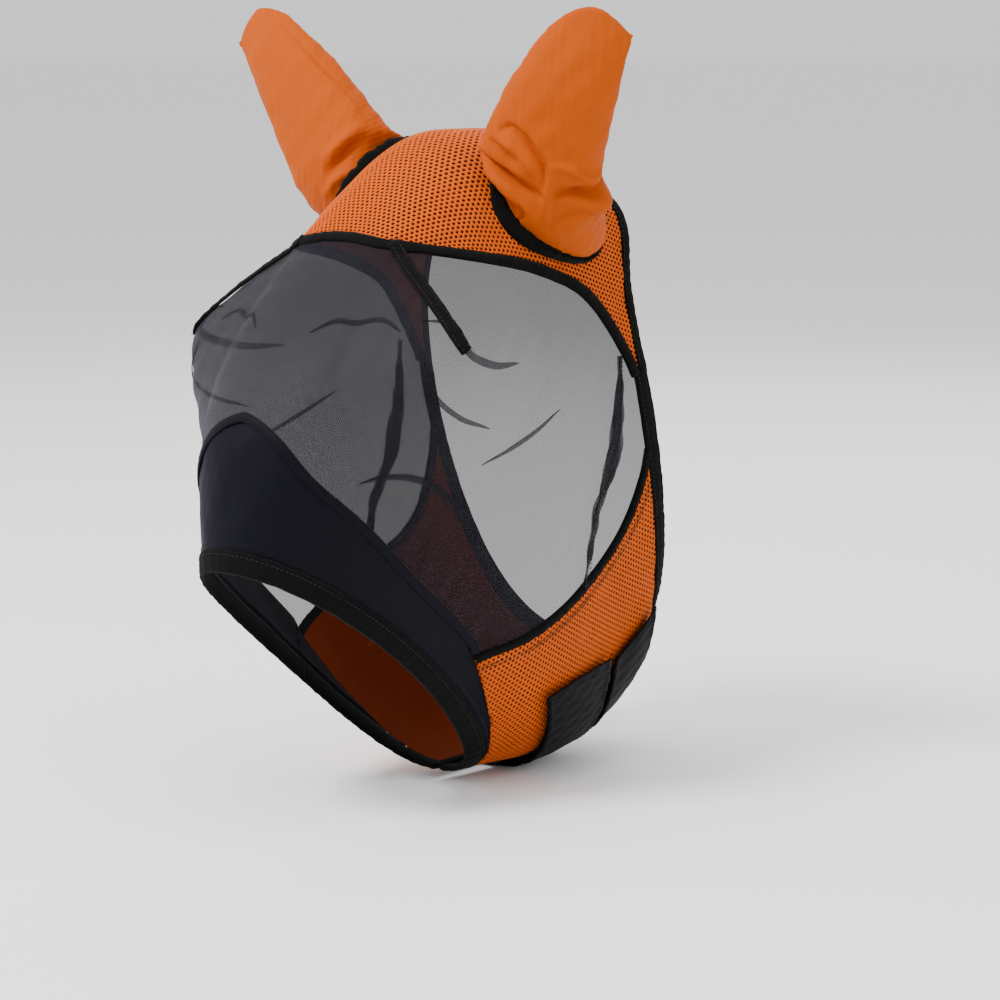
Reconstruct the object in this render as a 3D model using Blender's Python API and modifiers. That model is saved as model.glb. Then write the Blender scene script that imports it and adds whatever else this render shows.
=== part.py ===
"""Fly mask for a horse: sheer eye mesh, padded spacer-mesh crown and jaw, ear covers and a jaw closure.

The mask is modelled as it sits on the head. The origin is the poll, under the middle of the crown,
+Z is up, the horse faces -Y and its left side is +X. Every fabric piece lies on one head form, which
is addressed by two numbers: u runs along the head from the rear opening (0) to the nose hem (1), and
v runs round it from the forehead line (0) to the jaw line (1 on the left side, -1 on the right).
"""
import math

import bmesh
import bpy
import numpy as np
from mathutils import Euler, Vector

# ---------------------------------------------------------------- driving dimensions (metres)
FABRIC = 0.0020            # padded spacer mesh of the crown and the jaw
SHEER = 0.0016             # eye mesh
STRETCH = 0.0018           # nose panel and ear covers
BINDING = 0.0032           # fleece-backed edge binding, folded over the edge
SEAM_GAP = 0.0010          # clearance between sewn neighbours
REAR_WIDTH = 0.014         # binding round the throat side of the rear opening
CROWN_REAR_WIDTH = 0.009   # binding on the crown's own rear edge
HEM_WIDTH = 0.016          # binding round the nose opening
BROW_WIDTH = 0.009         # binding between the crown and the eye mesh
CHEEK_WIDTH = 0.007        # binding between the eye mesh and the jaw panel
CLOSING_WIDTH = 0.006      # binding along each edge of the jaw opening
RING_WIDTH = 0.012         # binding round each ear opening
DART_WIDTH = 0.009         # tape over the dart that lifts the mesh off the eye
TAB_THICK = 0.0016
HOOK_THICK = 0.0010        # hook pad and loop patch
TAPE_HEIGHT = 0.0030       # underside of whatever lies on a panel's outer face
HOOK_HEIGHT = 0.0048       # underside of the hook pads, above the loop patches
TAB_HEIGHT = 0.0066        # underside of the tabs, above the hook pads
FOLD_HALF_GAP = 0.0010     # half of the clearance along the jaw flap's fold
FOLD_STANDOFF = 0.004      # how far the fold's axis stands outside the fabric

# Stations along the head: u, forehead (y, z), jaw (y, z), half width, share of the depth at the
# widest place, fullness of the forehead side, fullness of the jaw side, bow towards the nose.
STATIONS = np.array([
    (0.00, 0.076, -0.008, 0.178, -0.378, 0.099, 0.50, 0.72, 0.72, 0.009),
    (0.20, 0.040, 0.004, 0.158, -0.416, 0.098, 0.47, 0.68, 0.72, 0.000),
    (0.40, -0.022, -0.008, 0.124, -0.438, 0.098, 0.44, 0.70, 0.72, 0.000),
    (0.55, -0.097, -0.058, 0.088, -0.445, 0.104, 0.42, 0.76, 0.72, 0.000),
    (0.70, -0.168, -0.122, 0.052, -0.448, 0.102, 0.42, 0.78, 0.74, 0.000),
    (0.85, -0.211, -0.192, 0.020, -0.448, 0.082, 0.45, 0.80, 0.78, -0.003),
    (1.00, -0.226, -0.280, -0.006, -0.448, 0.062, 0.48, 0.85, 0.80, -0.009),
])
# Where each dart ends, the mesh stands off the eye like a small tent: the point of the head under the
# peak, how far the peak is lifted, how far the tent reaches and how blunt its top is.
DART_PEAK = np.array((0.0885, -0.0840, -0.1350))
DART_PEAK_LIFT = np.array((0.0340, -0.0430, 0.0020))
DART_PEAK_REACH = 0.074
DART_PEAK_ROUNDING = 0.007
DART_PEAK_RIDGE = np.array((-0.20, -0.66, -0.72))   # the tent runs on this way, towards the nose
DART_PEAK_STRETCH = 0.62
# Behind each ear the rear edge runs further back: middle and half width in v, reach in u, and how far.
POLL_FLARE_MIDDLE, POLL_FLARE_WIDTH, POLL_FLARE_REACH = 0.235, 0.085, 0.34
POLL_FLARE = np.array((0.0060, 0.0200, 0.0020))

# Seam lines on the left side as (u, v); the right side mirrors them.
BROW_LINE = [(0.567, 0.0), (0.566, 0.07), (0.54, 0.15), (0.497, 0.22), (0.403, 0.306),
             (0.28, 0.366), (0.173, 0.434), (0.09, 0.478), (0.0, 0.52)]
NOSE_LINE = [(0.823, 0.0), (0.842, 0.08), (0.866, 0.18), (0.87, 0.31), (0.866, 0.46), (0.83, 0.60)]
CHEEK_LINE = [(0.85, 0.609), (0.723, 0.638), (0.597, 0.648), (0.48, 0.642), (0.36, 0.625),
              (0.20, 0.573), (0.10, 0.535), (0.0, 0.49)]
JAW_FRONT = ((0.848, 0.612), (0.925, 0.993))   # front edge of the jaw panel, down to its closing edge
DART_TAPE_LINE = [(0.575, 0.098), (0.585, 0.20), (0.588, 0.296)]
CHEEK_DART_LINE = [(0.25, 0.462), (0.36, 0.548), (0.45, 0.587)]
CHEEK_DART_WIDTH = 0.016

# Ear openings in the crown: centre and half sizes in (u, v).
EAR_RINGS = {"left": ((0.278, 0.217), (0.144, 0.090)), "right": ((0.281, -0.204), (0.146, 0.086))}
# Ear covers: a flat sleeve drawn in its own frame (across, up), tilted into place.
EAR_INNER_SIDE = [(-0.052, 0.034), (-0.050, 0.055), (-0.044, 0.087), (-0.035, 0.117)]
EAR_OUTER_SIDE = [(0.033, 0.034), (0.032, 0.060), (0.0265, 0.115), (0.023, 0.152)]
EAR_TOP_APEX = (-0.006, 0.156)
EAR_BASE_DEPTH = 0.026
EAR_TOP_DEPTH = 0.0025
EAR_SIDE_GAP = 0.0012
EAR_PIVOT_HEIGHT = 0.032
EAR_FRAMES = {"left": ((0.078, 0.014, -0.046), (26, 20, 28)),
              "right": ((-0.086, 0.004, -0.046), (3, -33, -4))}

# Jaw closure: two tabs sewn to the right side, wrapped under the jaw onto the left panel. Each is
# given by the (u, v) where its rear edge and its nose edge end.
JAW_EDGE = 0.993           # v of each edge of the jaw opening
TAB_BASE_START = -0.900    # v where a tab is sewn on
TAB_HINGE = -0.983         # v where it leaves the fabric
TABS = {"front": ((0.445, 0.752), (0.702, 0.735)), "rear": ((0.165, 0.738), (0.415, 0.762))}
CROWN_REAR_END = 0.44      # v where the crown's rear binding meets the throat binding
FOLD_LINE_ENDS = ((0.02, -0.735), (0.98, -0.755))

COLOURS = {
    "spacer_mesh": ((0.73, 0.14, 0.014, 1), 0.75),
    "ear_stretch": ((0.68, 0.13, 0.010, 1), 0.80),
    "eye_mesh": ((0.035, 0.035, 0.045, 1), 0.60),
    "nose_stretch": ((0.012, 0.012, 0.024, 1), 0.70),
    "binding": ((0.010, 0.012, 0.010, 1), 0.85),
    "hook_tape": ((0.012, 0.012, 0.020, 1), 0.65),
}


# ---------------------------------------------------------------- head form
def smooth_rows(keys, rows, at):
    """Rows interpolated along keys with continuous slope."""
    at = np.clip(at, keys[0], keys[-1])
    slopes = np.gradient(rows, keys, axis=0)
    i = np.clip(np.searchsorted(keys, at, side="right") - 1, 0, len(keys) - 2)
    span = (keys[i + 1] - keys[i])[..., None]
    s = (at - keys[i])[..., None] / span
    start = (2 * s**3 - 3 * s**2 + 1) * rows[i] + (s**3 - 2 * s**2 + s) * slopes[i] * span
    end = (3 * s**2 - 2 * s**3) * rows[i + 1] + (s**3 - s**2) * slopes[i + 1] * span
    return start + end


def form_point(u, v):
    """Points of the head form. v may run past 1 or -1, round under the jaw to the other side."""
    u, v = np.broadcast_arrays(np.asarray(u, float), np.asarray(v, float))
    v = np.mod(v + 1, 2) - 1
    row = smooth_rows(STATIONS[:, 0], STATIONS[:, 1:], u)
    top_y, top_z, jaw_y, jaw_z, half, share, top_full, jaw_full, bow = np.moveaxis(row, -1, 0)
    turn = np.pi * np.abs(v)
    sine = np.clip(np.sin(turn), 0, 1)
    cosine = np.cos(turn)
    x = np.sign(v) * half * sine ** np.where(cosine > 0, top_full, jaw_full)
    depth = np.where(cosine > 0, share * (1 - cosine), share - (1 - share) * cosine)
    dy, dz = jaw_y - top_y, jaw_z - top_z
    length = np.hypot(dy, dz)
    y = top_y + dy * depth + dz / length * bow * sine**2
    z = top_z + dz * depth - dy / length * bow * sine**2
    points = np.stack([x, y, z], -1)
    flare = np.exp(-((np.abs(v) - POLL_FLARE_MIDDLE) / POLL_FLARE_WIDTH) ** 2)
    flare = flare * np.clip(1 - u / POLL_FLARE_REACH, 0, 1) ** 1.5
    sides = np.stack([np.sign(v), np.ones_like(v), np.ones_like(v)], -1)
    points = points + flare[..., None] * POLL_FLARE * sides
    tent = np.zeros_like(points)
    for side in (1, -1):
        mirror = np.array((side, 1, 1))
        away = points - DART_PEAK * mirror
        ahead = np.clip(away @ (DART_PEAK_RIDGE * mirror), 0, None)
        apart = np.sqrt(np.sum(away**2, -1) - DART_PEAK_STRETCH * ahead**2 + DART_PEAK_ROUNDING**2)
        share = np.clip(1 - apart / DART_PEAK_REACH, 0, 1) ** 1.25
        tent = tent + share[..., None] * DART_PEAK_LIFT * mirror
    return points + tent


def form_slopes(u, v):
    step = 1e-3
    u = np.clip(u, 0, 1)
    low, high = np.maximum(u - step, 0), np.minimum(u + step, 1)
    along = (form_point(high, v) - form_point(low, v)) / (high - low)[..., None]
    across = (form_point(u, v + step) - form_point(u, v - step)) / (2 * step)
    return along, across


def form_normal(u, v):
    along, across = form_slopes(u, v)
    normal = np.cross(along, across)
    return normal / np.linalg.norm(normal, axis=-1, keepdims=True)


def lifted(line, height):
    """Points at a height over the head form."""
    u, v = line[..., 0], line[..., 1]
    return form_point(u, v) + form_normal(u, v) * height


# ---------------------------------------------------------------- lines on the form
def resampled(line, count):
    """A dense (u, v) line cut into count even steps of real length."""
    points = form_point(line[:, 0], line[:, 1])
    run = np.concatenate([[0], np.cumsum(np.linalg.norm(np.diff(points, axis=0), axis=1))])
    at = np.linspace(0, run[-1], count + 1)
    return np.stack([np.interp(at, run, line[:, k]) for k in (0, 1)], -1)


def smooth_line(few_points, count=160):
    """A dense smooth (u, v) line through a few points."""
    points = np.array(few_points, float)
    keys = np.concatenate([[0], np.cumsum(np.linalg.norm(np.diff(points, axis=0), axis=1))])
    return smooth_rows(keys, points, np.linspace(0, keys[-1], count))


def shifted(line, distance, steps=4):
    """A line moved sideways over the form; a positive distance is to the left of its direction."""
    line = line.copy()
    for _ in range(steps):
        along, across = form_slopes(line[:, 0], line[:, 1])
        trend = np.gradient(line, axis=0)
        ahead = along * trend[:, :1] + across * trend[:, 1:]
        ahead /= np.linalg.norm(ahead, axis=1, keepdims=True)
        normal = np.cross(along, across)
        normal /= np.linalg.norm(normal, axis=1, keepdims=True)
        aside = np.cross(normal, ahead) * distance / steps
        aa, ab, bb = (np.sum(p * q, 1) for p, q in ((along, along), (along, across), (across, across)))
        ra, rb = np.sum(aside * along, 1), np.sum(aside * across, 1)
        scale = aa * bb - ab * ab
        line = line + np.stack([(ra * bb - rb * ab) / scale, (rb * aa - ra * ab) / scale], -1)
    return line


def mirrored(line):
    return line * np.array((1, -1))


def clear_of_ends(line, rear=0.0, hem=0.0):
    """The stretch of a line that keeps a distance from the rear opening and from the nose hem."""
    points = form_point(line[:, 0], line[:, 1])
    keep = np.ones(len(line), bool)
    for u, least in ((0.0, rear), (1.0, hem)):
        edge = form_point(u, np.linspace(-1, 1, 500))
        keep &= np.linalg.norm(points[:, None] - edge[None], axis=2).min(axis=1) >= least
    return line[keep]


def behind_jaw_front(line, margin=0.006):
    """The stretch of a line on the jaw that lies between the rear binding and the jaw's front edge."""
    (top_u, top_v), (low_u, low_v) = JAW_FRONT
    front = np.interp(np.abs(line[:, 1]), (top_v, low_v), (top_u, low_u))
    return clear_of_ends(line[line[:, 0] < front - margin], REAR_WIDTH + 0.0015, HEM_WIDTH + 0.0015)


def round_along(v, count=300):
    """A line of constant v from the rear opening to the hem."""
    return np.stack([np.linspace(0, 1, count), np.full(count, float(v))], -1)


def round_line(u, start, end, count=400):
    """A line of constant u from v=start to v=end."""
    return np.stack([np.full(count, float(u)), np.linspace(start, end, count)], -1)


def rear_line(inset, start, end):
    """Along the rear opening at a distance inside it, from v=start to v=end."""
    return shifted(round_line(0.0, start, end), -inset if end > start else inset)


def hem_line(inset, start, end):
    """Along the nose hem at a distance inside it."""
    return shifted(round_line(1.0, start, end), inset if end > start else -inset)


# ---------------------------------------------------------------- pieces
def clear_scene():
    for item in list(bpy.data.objects):
        bpy.data.objects.remove(item, do_unlink=True)


def new_collection(name):
    group = bpy.data.collections.new(name)
    bpy.context.scene.collection.children.link(group)
    return group


def finish_material(node, finish):
    colour, rough = COLOURS[finish]
    material = bpy.data.materials.new(f"{node}_{finish}")
    material.use_nodes = True
    shader = material.node_tree.nodes["Principled BSDF"]
    shader.inputs["Base Color"].default_value = colour
    shader.inputs["Roughness"].default_value = rough
    shader.inputs["Metallic"].default_value = 0.0
    return material


def sheet(name, points, thickness, finish, pivot=None, round_closed=False):
    """A fabric piece: a grid of points, thickened along its own outward side."""
    rows, columns = points.shape[:2]
    index = np.arange(rows * columns).reshape(rows, columns)
    wrap = columns if round_closed else columns - 1
    faces = [(index[r, c], index[r + 1, c], index[r + 1, (c + 1) % columns], index[r, (c + 1) % columns])
             for r in range(rows - 1) for c in range(wrap)]
    origin = np.zeros(3) if pivot is None else np.array(pivot.matrix_world.translation)
    mesh = bpy.data.meshes.new(name)
    mesh.from_pydata((points.reshape(-1, 3) - origin).tolist(), [], [tuple(map(int, f)) for f in faces])
    mesh.materials.append(finish_material(name, finish))
    mesh.shade_smooth()
    piece = bpy.data.objects.new(name, mesh)
    MASK.objects.link(piece)
    if pivot is not None:
        piece.parent = pivot
    shell = piece.modifiers.new("thickness", "SOLIDIFY")
    shell.thickness = thickness
    shell.offset = 1.0
    return piece


def pivot_at(name, place, parent=None):
    """An empty on a joint's axis, which the moving pieces hang from."""
    empty = bpy.data.objects.new(name, None)
    MASK.objects.link(empty)
    if parent is None:
        empty.location = place
    else:
        empty.parent = parent
        empty.location = Vector(place) - parent.matrix_world.translation
    bpy.context.view_layer.update()
    return empty


def between(first, second, columns, rows, height=0.0):
    """A grid of points on the form between two lines; first is on the left of the way they run."""
    a, b = resampled(first, columns), resampled(second, columns)
    share = np.linspace(0, 1, rows + 1)[:, None, None]
    return lifted(a * (1 - share) + b * share, height)


def panel(name, first, second, columns, rows, thickness, finish, height=0.0, pivot=None):
    return sheet(name, between(first, second, columns, rows, height), thickness, finish, pivot)


def strip(name, line, width, columns, thickness, finish, height=0.0, pivot=None, closed=False):
    """A flat tape that follows a line of the form."""
    first, second = shifted(line, width / 2), shifted(line, -width / 2)
    points = between(first, second, columns, 1, height)
    if closed:
        points = points[:, :-1]
    return sheet(name, points, thickness, finish, pivot, round_closed=closed)


# ---------------------------------------------------------------- the mask
def ring_line(side, outward=0.0, count=400):
    """The closed line round an ear opening, moved outwards over the crown by a distance."""
    (u, v), (half_u, half_v) = EAR_RINGS[side]
    way = 1 if side == "left" else -1
    turn = np.linspace(0, 2 * np.pi, count + 1)
    line = np.stack([u + half_u * np.cos(turn), v + way * half_v * np.sin(turn)], -1)
    return shifted(line, -way * outward)


def ear_hole_cutter(side):
    """A plug that opens the crown for the ear."""
    edge = resampled(ring_line(side, RING_WIDTH / 2 + SEAM_GAP), 28)[:-1]
    plug = bmesh.new()
    low = [plug.verts.new(point) for point in lifted(edge, -0.005)]
    high = [plug.verts.new(point) for point in lifted(edge, 0.022)]
    plug.faces.new(low)
    plug.faces.new(high)
    for i in range(len(edge)):
        plug.faces.new((low[i - 1], low[i], high[i], high[i - 1]))
    bmesh.ops.recalc_face_normals(plug, faces=plug.faces)
    mesh = bpy.data.meshes.new(f"{side}_ear_hole")
    plug.to_mesh(mesh)
    plug.free()
    cutter = bpy.data.objects.new(f"{side}_ear_hole", mesh)
    CUTTERS.objects.link(cutter)
    cutter.hide_render = True
    cutter.display_type = "WIRE"
    return cutter


def full_line(half_line, distance):
    """A seam over both sides of the face, from the left end to the right end, moved sideways."""
    left = half_line[::-1]
    return shifted(np.concatenate([left, mirrored(half_line)[1:]]), distance)


def make_crown(brow):
    """The padded crown between the rear opening and the brow, with its two ear openings."""
    front = clear_of_ends(full_line(brow, -(BROW_WIDTH / 2 + SEAM_GAP)), rear=REAR_WIDTH + 0.006)
    back = rear_line(CROWN_REAR_WIDTH + SEAM_GAP, CROWN_REAR_END - 0.012, 0.012 - CROWN_REAR_END)
    crown = panel("crown_panel", back, front, 44, 9, FABRIC, "spacer_mesh")
    for side in EAR_RINGS:
        cut = crown.modifiers.new(f"{side}_ear_opening", "BOOLEAN")
        cut.object = ear_hole_cutter(side)
        cut.operation = "DIFFERENCE"
        cut.solver = "EXACT"


def make_bindings(brow, cheek, fold):
    brow_tape = clear_of_ends(full_line(brow, 0), rear=REAR_WIDTH + 0.008)
    strip("brow_binding", brow_tape, BROW_WIDTH, 44, BINDING, "binding", -0.0005)
    cheek_tape = clear_of_ends(behind_jaw_front(cheek), rear=REAR_WIDTH + 0.005)
    for side, line in (("left", cheek_tape), ("right", mirrored(cheek_tape))):
        strip(f"{side}_cheek_binding", line, CHEEK_WIDTH, 20, BINDING, "binding", -0.0005)
    split = CROWN_REAR_END
    strip("crown_rear_binding", rear_line(CROWN_REAR_WIDTH / 2, -split, split), CROWN_REAR_WIDTH, 30,
          BINDING, "binding", -0.0005)
    rear_fold, hem_fold = (float(np.interp(u, fold[:, 0], fold[:, 1])) for u in (0.03, 0.97))
    stretches = {"left_throat_binding": (split + 0.003, JAW_EDGE, None),
                 "right_throat_binding": (rear_fold + 0.004, -split - 0.003, None),
                 "right_lower_throat_binding": (-JAW_EDGE, rear_fold - 0.004, FLAP)}
    for name, (start, end, pivot) in stretches.items():
        strip(name, rear_line(REAR_WIDTH / 2, start, end), REAR_WIDTH, max(8, round(abs(end - start) * 40)),
              BINDING, "binding", -0.0005, pivot)
    strip("nose_hem_binding", hem_line(HEM_WIDTH / 2, hem_fold + 0.005, JAW_EDGE), HEM_WIDTH, 44, BINDING,
          "binding", -0.0005)
    strip("right_lower_hem_binding", hem_line(HEM_WIDTH / 2, -JAW_EDGE, hem_fold - 0.005), HEM_WIDTH, 8,
          BINDING, "binding", -0.0005, FLAP)


def make_face(brow, nose, cheek):
    """The sheer eye mesh and the stretch panel over the nose."""
    top = clear_of_ends(full_line(brow, BROW_WIDTH / 2 + SEAM_GAP), rear=REAR_WIDTH + 0.004)
    nose_edge = full_line(nose, -SEAM_GAP / 2)
    cheek_edge = clear_of_ends(shifted(cheek, CHEEK_WIDTH / 2 + SEAM_GAP), rear=REAR_WIDTH + 0.003)
    inner = np.abs(nose_edge[:, 1]) < 0.592
    bottom = np.concatenate([cheek_edge[::-1], nose_edge[inner], mirrored(cheek_edge)])
    panel("eye_mesh", top, bottom, 44, 10, SHEER, "eye_mesh")
    front = np.linspace(JAW_FRONT[0], JAW_FRONT[1], 120)
    seam = full_line(np.concatenate([nose[nose[:, 1] < 0.595], front]), SEAM_GAP / 2)
    seam = clear_of_ends(seam, hem=HEM_WIDTH + 0.005)
    hem = hem_line(HEM_WIDTH + SEAM_GAP, seam[0, 1], seam[-1, 1])
    panel("nose_panel", seam, hem, 40, 6, STRETCH, "nose_stretch")


def make_jaw(cheek, fold):
    """The padded jaw panels; the right one is split at the fold of the jaw flap."""
    top = behind_jaw_front(shifted(cheek, -(CHEEK_WIDTH / 2 + SEAM_GAP)))
    low = behind_jaw_front(shifted(round_along(JAW_EDGE), -(CLOSING_WIDTH + SEAM_GAP)))[::-1]
    panel("left_jaw_panel", top, low, 16, 7, FABRIC, "spacer_mesh")
    upper_edge = behind_jaw_front(shifted(fold[::-1], -FOLD_HALF_GAP))
    lower_edge = behind_jaw_front(shifted(fold[::-1], FOLD_HALF_GAP))
    panel("right_jaw_panel", upper_edge, mirrored(top), 16, 3, FABRIC, "spacer_mesh")
    panel("right_jaw_flap", mirrored(low), lower_edge, 16, 6, FABRIC, "spacer_mesh", pivot=FLAP)
    edge = clear_of_ends(round_along(JAW_EDGE), rear=REAR_WIDTH + 0.001, hem=HEM_WIDTH + 0.001)
    middle = shifted(edge, -CLOSING_WIDTH / 2)
    strip("left_closing_edge", middle, CLOSING_WIDTH, 14, BINDING, "binding", -0.0005)
    strip("right_closing_edge", mirrored(middle)[::-1], CLOSING_WIDTH, 14, BINDING, "binding", -0.0005, FLAP)


def fold_axis():
    """A point and the direction of the jaw flap's fold, just outside the fabric."""
    ends = form_point(*np.array(FOLD_LINE_ENDS).T)
    direction = (ends[1] - ends[0]) / np.linalg.norm(ends[1] - ends[0])
    u = np.linspace(FOLD_LINE_ENDS[0][0], FOLD_LINE_ENDS[1][0], 9)
    v = np.linspace(FOLD_LINE_ENDS[0][1], FOLD_LINE_ENDS[1][1], 9)
    outward = form_normal(u, v).mean(axis=0)
    outward -= direction * (outward @ direction)
    outward /= np.linalg.norm(outward)
    bulge = max((form_point(u, v) - ends[0]) @ outward)
    return ends[0] + outward * (bulge + FOLD_STANDOFF), direction, outward


def fold_line():
    """Where the plane through the fold's axis and its outward way meets the form."""
    place, direction, outward = fold_axis()
    normal = np.cross(direction, outward)
    u = np.linspace(0, 1, 160)
    low, high = np.full(160, -0.60), np.full(160, -0.90)
    start = (form_point(u, low) - place) @ normal
    for _ in range(30):
        middle = (low + high) / 2
        same = ((form_point(u, middle) - place) @ normal) * start > 0
        low, high = np.where(same, middle, low), np.where(same, high, middle)
    return np.stack([u, low], -1)


def make_darts():
    tape = smooth_line(DART_TAPE_LINE)
    pleat = smooth_line(CHEEK_DART_LINE)
    for side, way in (("left", 1), ("right", -1)):
        mirror = np.array((1, way))
        strip(f"{side}_dart_tape", tape * mirror, DART_WIDTH, 8, 0.0020, "binding", TAPE_HEIGHT)
        strip(f"{side}_cheek_dart", pleat * mirror, CHEEK_DART_WIDTH, 8, 0.0012, "eye_mesh", TAPE_HEIGHT)


def ear_matrix(side):
    place, tilt = EAR_FRAMES[side]
    turn = Euler([math.radians(a) for a in tilt], "XYZ").to_matrix()
    return np.array(place), np.array(turn)


def ear_to_world(side, local):
    """Points given as (across towards the outer edge, back, up) in an ear cover's own frame."""
    place, turn = ear_matrix(side)
    flip = np.array((1 if side == "left" else -1, 1, 1))
    return (local * flip) @ turn.T + place


def ear_outline(across, up):
    """Flat position on the sleeve: across runs 0..1 from the inner to the outer side."""
    def along(side_points, share):
        points = np.array(side_points)
        keys = np.linspace(0, 1, len(points))
        return smooth_rows(keys, points, share)

    inner, outer = along(EAR_INNER_SIDE, up), along(EAR_OUTER_SIDE, up)
    flat = inner * (1 - across)[..., None] + outer * across[..., None]
    top = np.array([EAR_INNER_SIDE[-1], EAR_TOP_APEX, EAR_OUTER_SIDE[-1]])
    edge = np.stack([np.interp(across, (0, 0.52, 1), top[:, k]) for k in (0, 1)], -1)
    straight = top[0] * (1 - across)[..., None] + top[2] * across[..., None]
    return flat + (edge - straight) * (up**2)[..., None]


def ear_cover_points(side, face, columns=9, rows=9):
    """One half of the sleeve; face is -1 for the front half and 1 for the back half."""
    across, up = np.meshgrid(np.linspace(0, 1, columns + 1), np.linspace(0, 1, rows + 1))
    flat = ear_outline(across, up)
    depth = EAR_TOP_DEPTH + (EAR_BASE_DEPTH - EAR_TOP_DEPTH) * (1 - up) ** 0.8
    swell = EAR_SIDE_GAP + depth * np.sqrt(np.clip(1 - (2 * across - 1) ** 2, 0, 1))
    local = np.stack([flat[..., 0], face * swell, flat[..., 1]], -1)
    way = (face if side == "left" else -face)
    return ear_to_world(side, local)[:, ::way]


def make_ears():
    for side in EAR_RINGS:
        place, turn = ear_matrix(side)
        pivot = pivot_at(f"{side}_ear_axis", place + turn @ np.array((0, 0, EAR_PIVOT_HEIGHT)))
        for face, part in ((-1, "front"), (1, "back")):
            sheet(f"{side}_ear_{part}", ear_cover_points(side, face), STRETCH, "ear_stretch", pivot)
        strip(f"{side}_ear_ring", ring_line(side), RING_WIDTH, 30, BINDING, "binding", -0.0005,
              closed=True)
        make_ear_gather(side)


def make_ear_gather(side, columns=24):
    """The scrunched base of the ear cover, from the ring up to the sleeve."""
    way = 1 if side == "left" else -1
    turn = np.linspace(0, 2 * np.pi, columns, endpoint=False)
    (u, v), (half_u, half_v) = EAR_RINGS[side]
    foot = lifted(np.stack([u + half_u * 0.96 * np.cos(turn), v + way * half_v * 0.96 * np.sin(turn)], -1),
                  BINDING + 0.0012)
    across = 0.5 + 0.5 * np.sin(turn)
    flat = ear_outline(across, np.zeros(columns))
    swell = -np.cos(turn) * (EAR_BASE_DEPTH + EAR_SIDE_GAP)
    head = ear_to_world(side, np.stack([flat[:, 0], swell, flat[:, 1] - 0.003], -1))
    middle = (foot + head) / 2
    out = middle - middle.mean(axis=0)
    middle = middle + out / np.linalg.norm(out, axis=1, keepdims=True) * 0.004
    points = np.stack([foot, middle, head])
    sheet(f"{side}_ear_gather", points[:, ::-way], STRETCH, "ear_stretch", round_closed=True)


def tab_grid(tab, start, shorter, columns, rows, height, inset=0.0):
    """A tab over the form, from v=start to its slanted end; inset is how much narrower it is in u."""
    (rear_u, rear_v), (nose_u, nose_v) = TABS[tab]
    u = np.linspace(rear_u + inset, nose_u - inset, columns + 1)[None, :]
    end = np.linspace(rear_v, nose_v, columns + 1)[None, :] + shorter
    share = np.linspace(0, 1, rows + 1)[:, None]
    return lifted(np.stack([u + 0 * share, start * (1 - share) + end * share], -1), height)


def make_closure():
    """Two hook tabs sewn to the right side, which wrap under the jaw onto the left panel."""
    for tab, ((rear_u, _), (nose_u, _)) in TABS.items():
        middle = np.array([[(rear_u + nose_u) / 2, TAB_HINGE]])
        pivot = pivot_at(f"{tab}_tab_axis", lifted(middle, TAB_HEIGHT + TAB_THICK)[0], FLAP)
        sewn = np.linspace(TAB_BASE_START, TAB_HINGE - 0.004, 4)[:, None]
        u = np.linspace(rear_u, nose_u, 6)[None, :]
        base = lifted(np.stack([u + 0 * sewn, sewn + 0 * u], -1), TAPE_HEIGHT + 0.001)
        sheet(f"{tab}_tab_base", base, TAB_THICK, "hook_tape", FLAP)
        wrap = tab_grid(tab, 2 + TAB_HINGE, 0.0, 6, 10, TAB_HEIGHT)
        sheet(f"{tab}_tab", wrap, TAB_THICK, "hook_tape", pivot)
        pad = tab_grid(tab, 0.90, 0.010, 5, 6, HOOK_HEIGHT, 0.012)
        sheet(f"{tab}_hook_pad", pad, HOOK_THICK, "hook_tape", pivot)
        patch = tab_grid(tab, 0.91, 0.020, 5, 6, TAPE_HEIGHT, 0.012)
        sheet(f"{tab}_loop_patch", patch, HOOK_THICK, "hook_tape")


def make_fly_mask():
    brow, nose, cheek = smooth_line(BROW_LINE), smooth_line(NOSE_LINE), smooth_line(CHEEK_LINE)
    fold = fold_line()
    make_crown(brow)
    make_bindings(brow, cheek, fold)
    make_face(brow, nose, cheek)
    make_jaw(cheek, fold)
    make_darts()
    make_ears()
    make_closure()


clear_scene()
MASK = new_collection("fly_mask")
CUTTERS = new_collection("fly_mask_cutters")
FLAP = pivot_at("right_flap_axis", fold_axis()[0])
make_fly_mask()
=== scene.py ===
"""Looks for the fly mask: spacer mesh, sheer eye net, stretch ears and nose, fleece bindings and tabs."""
import math

import bmesh
import bpy
import numpy as np
from bpy.props import FloatProperty, FloatVectorProperty, PointerProperty
from mathutils import Euler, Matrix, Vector
from mathutils.bvhtree import BVHTree


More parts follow.
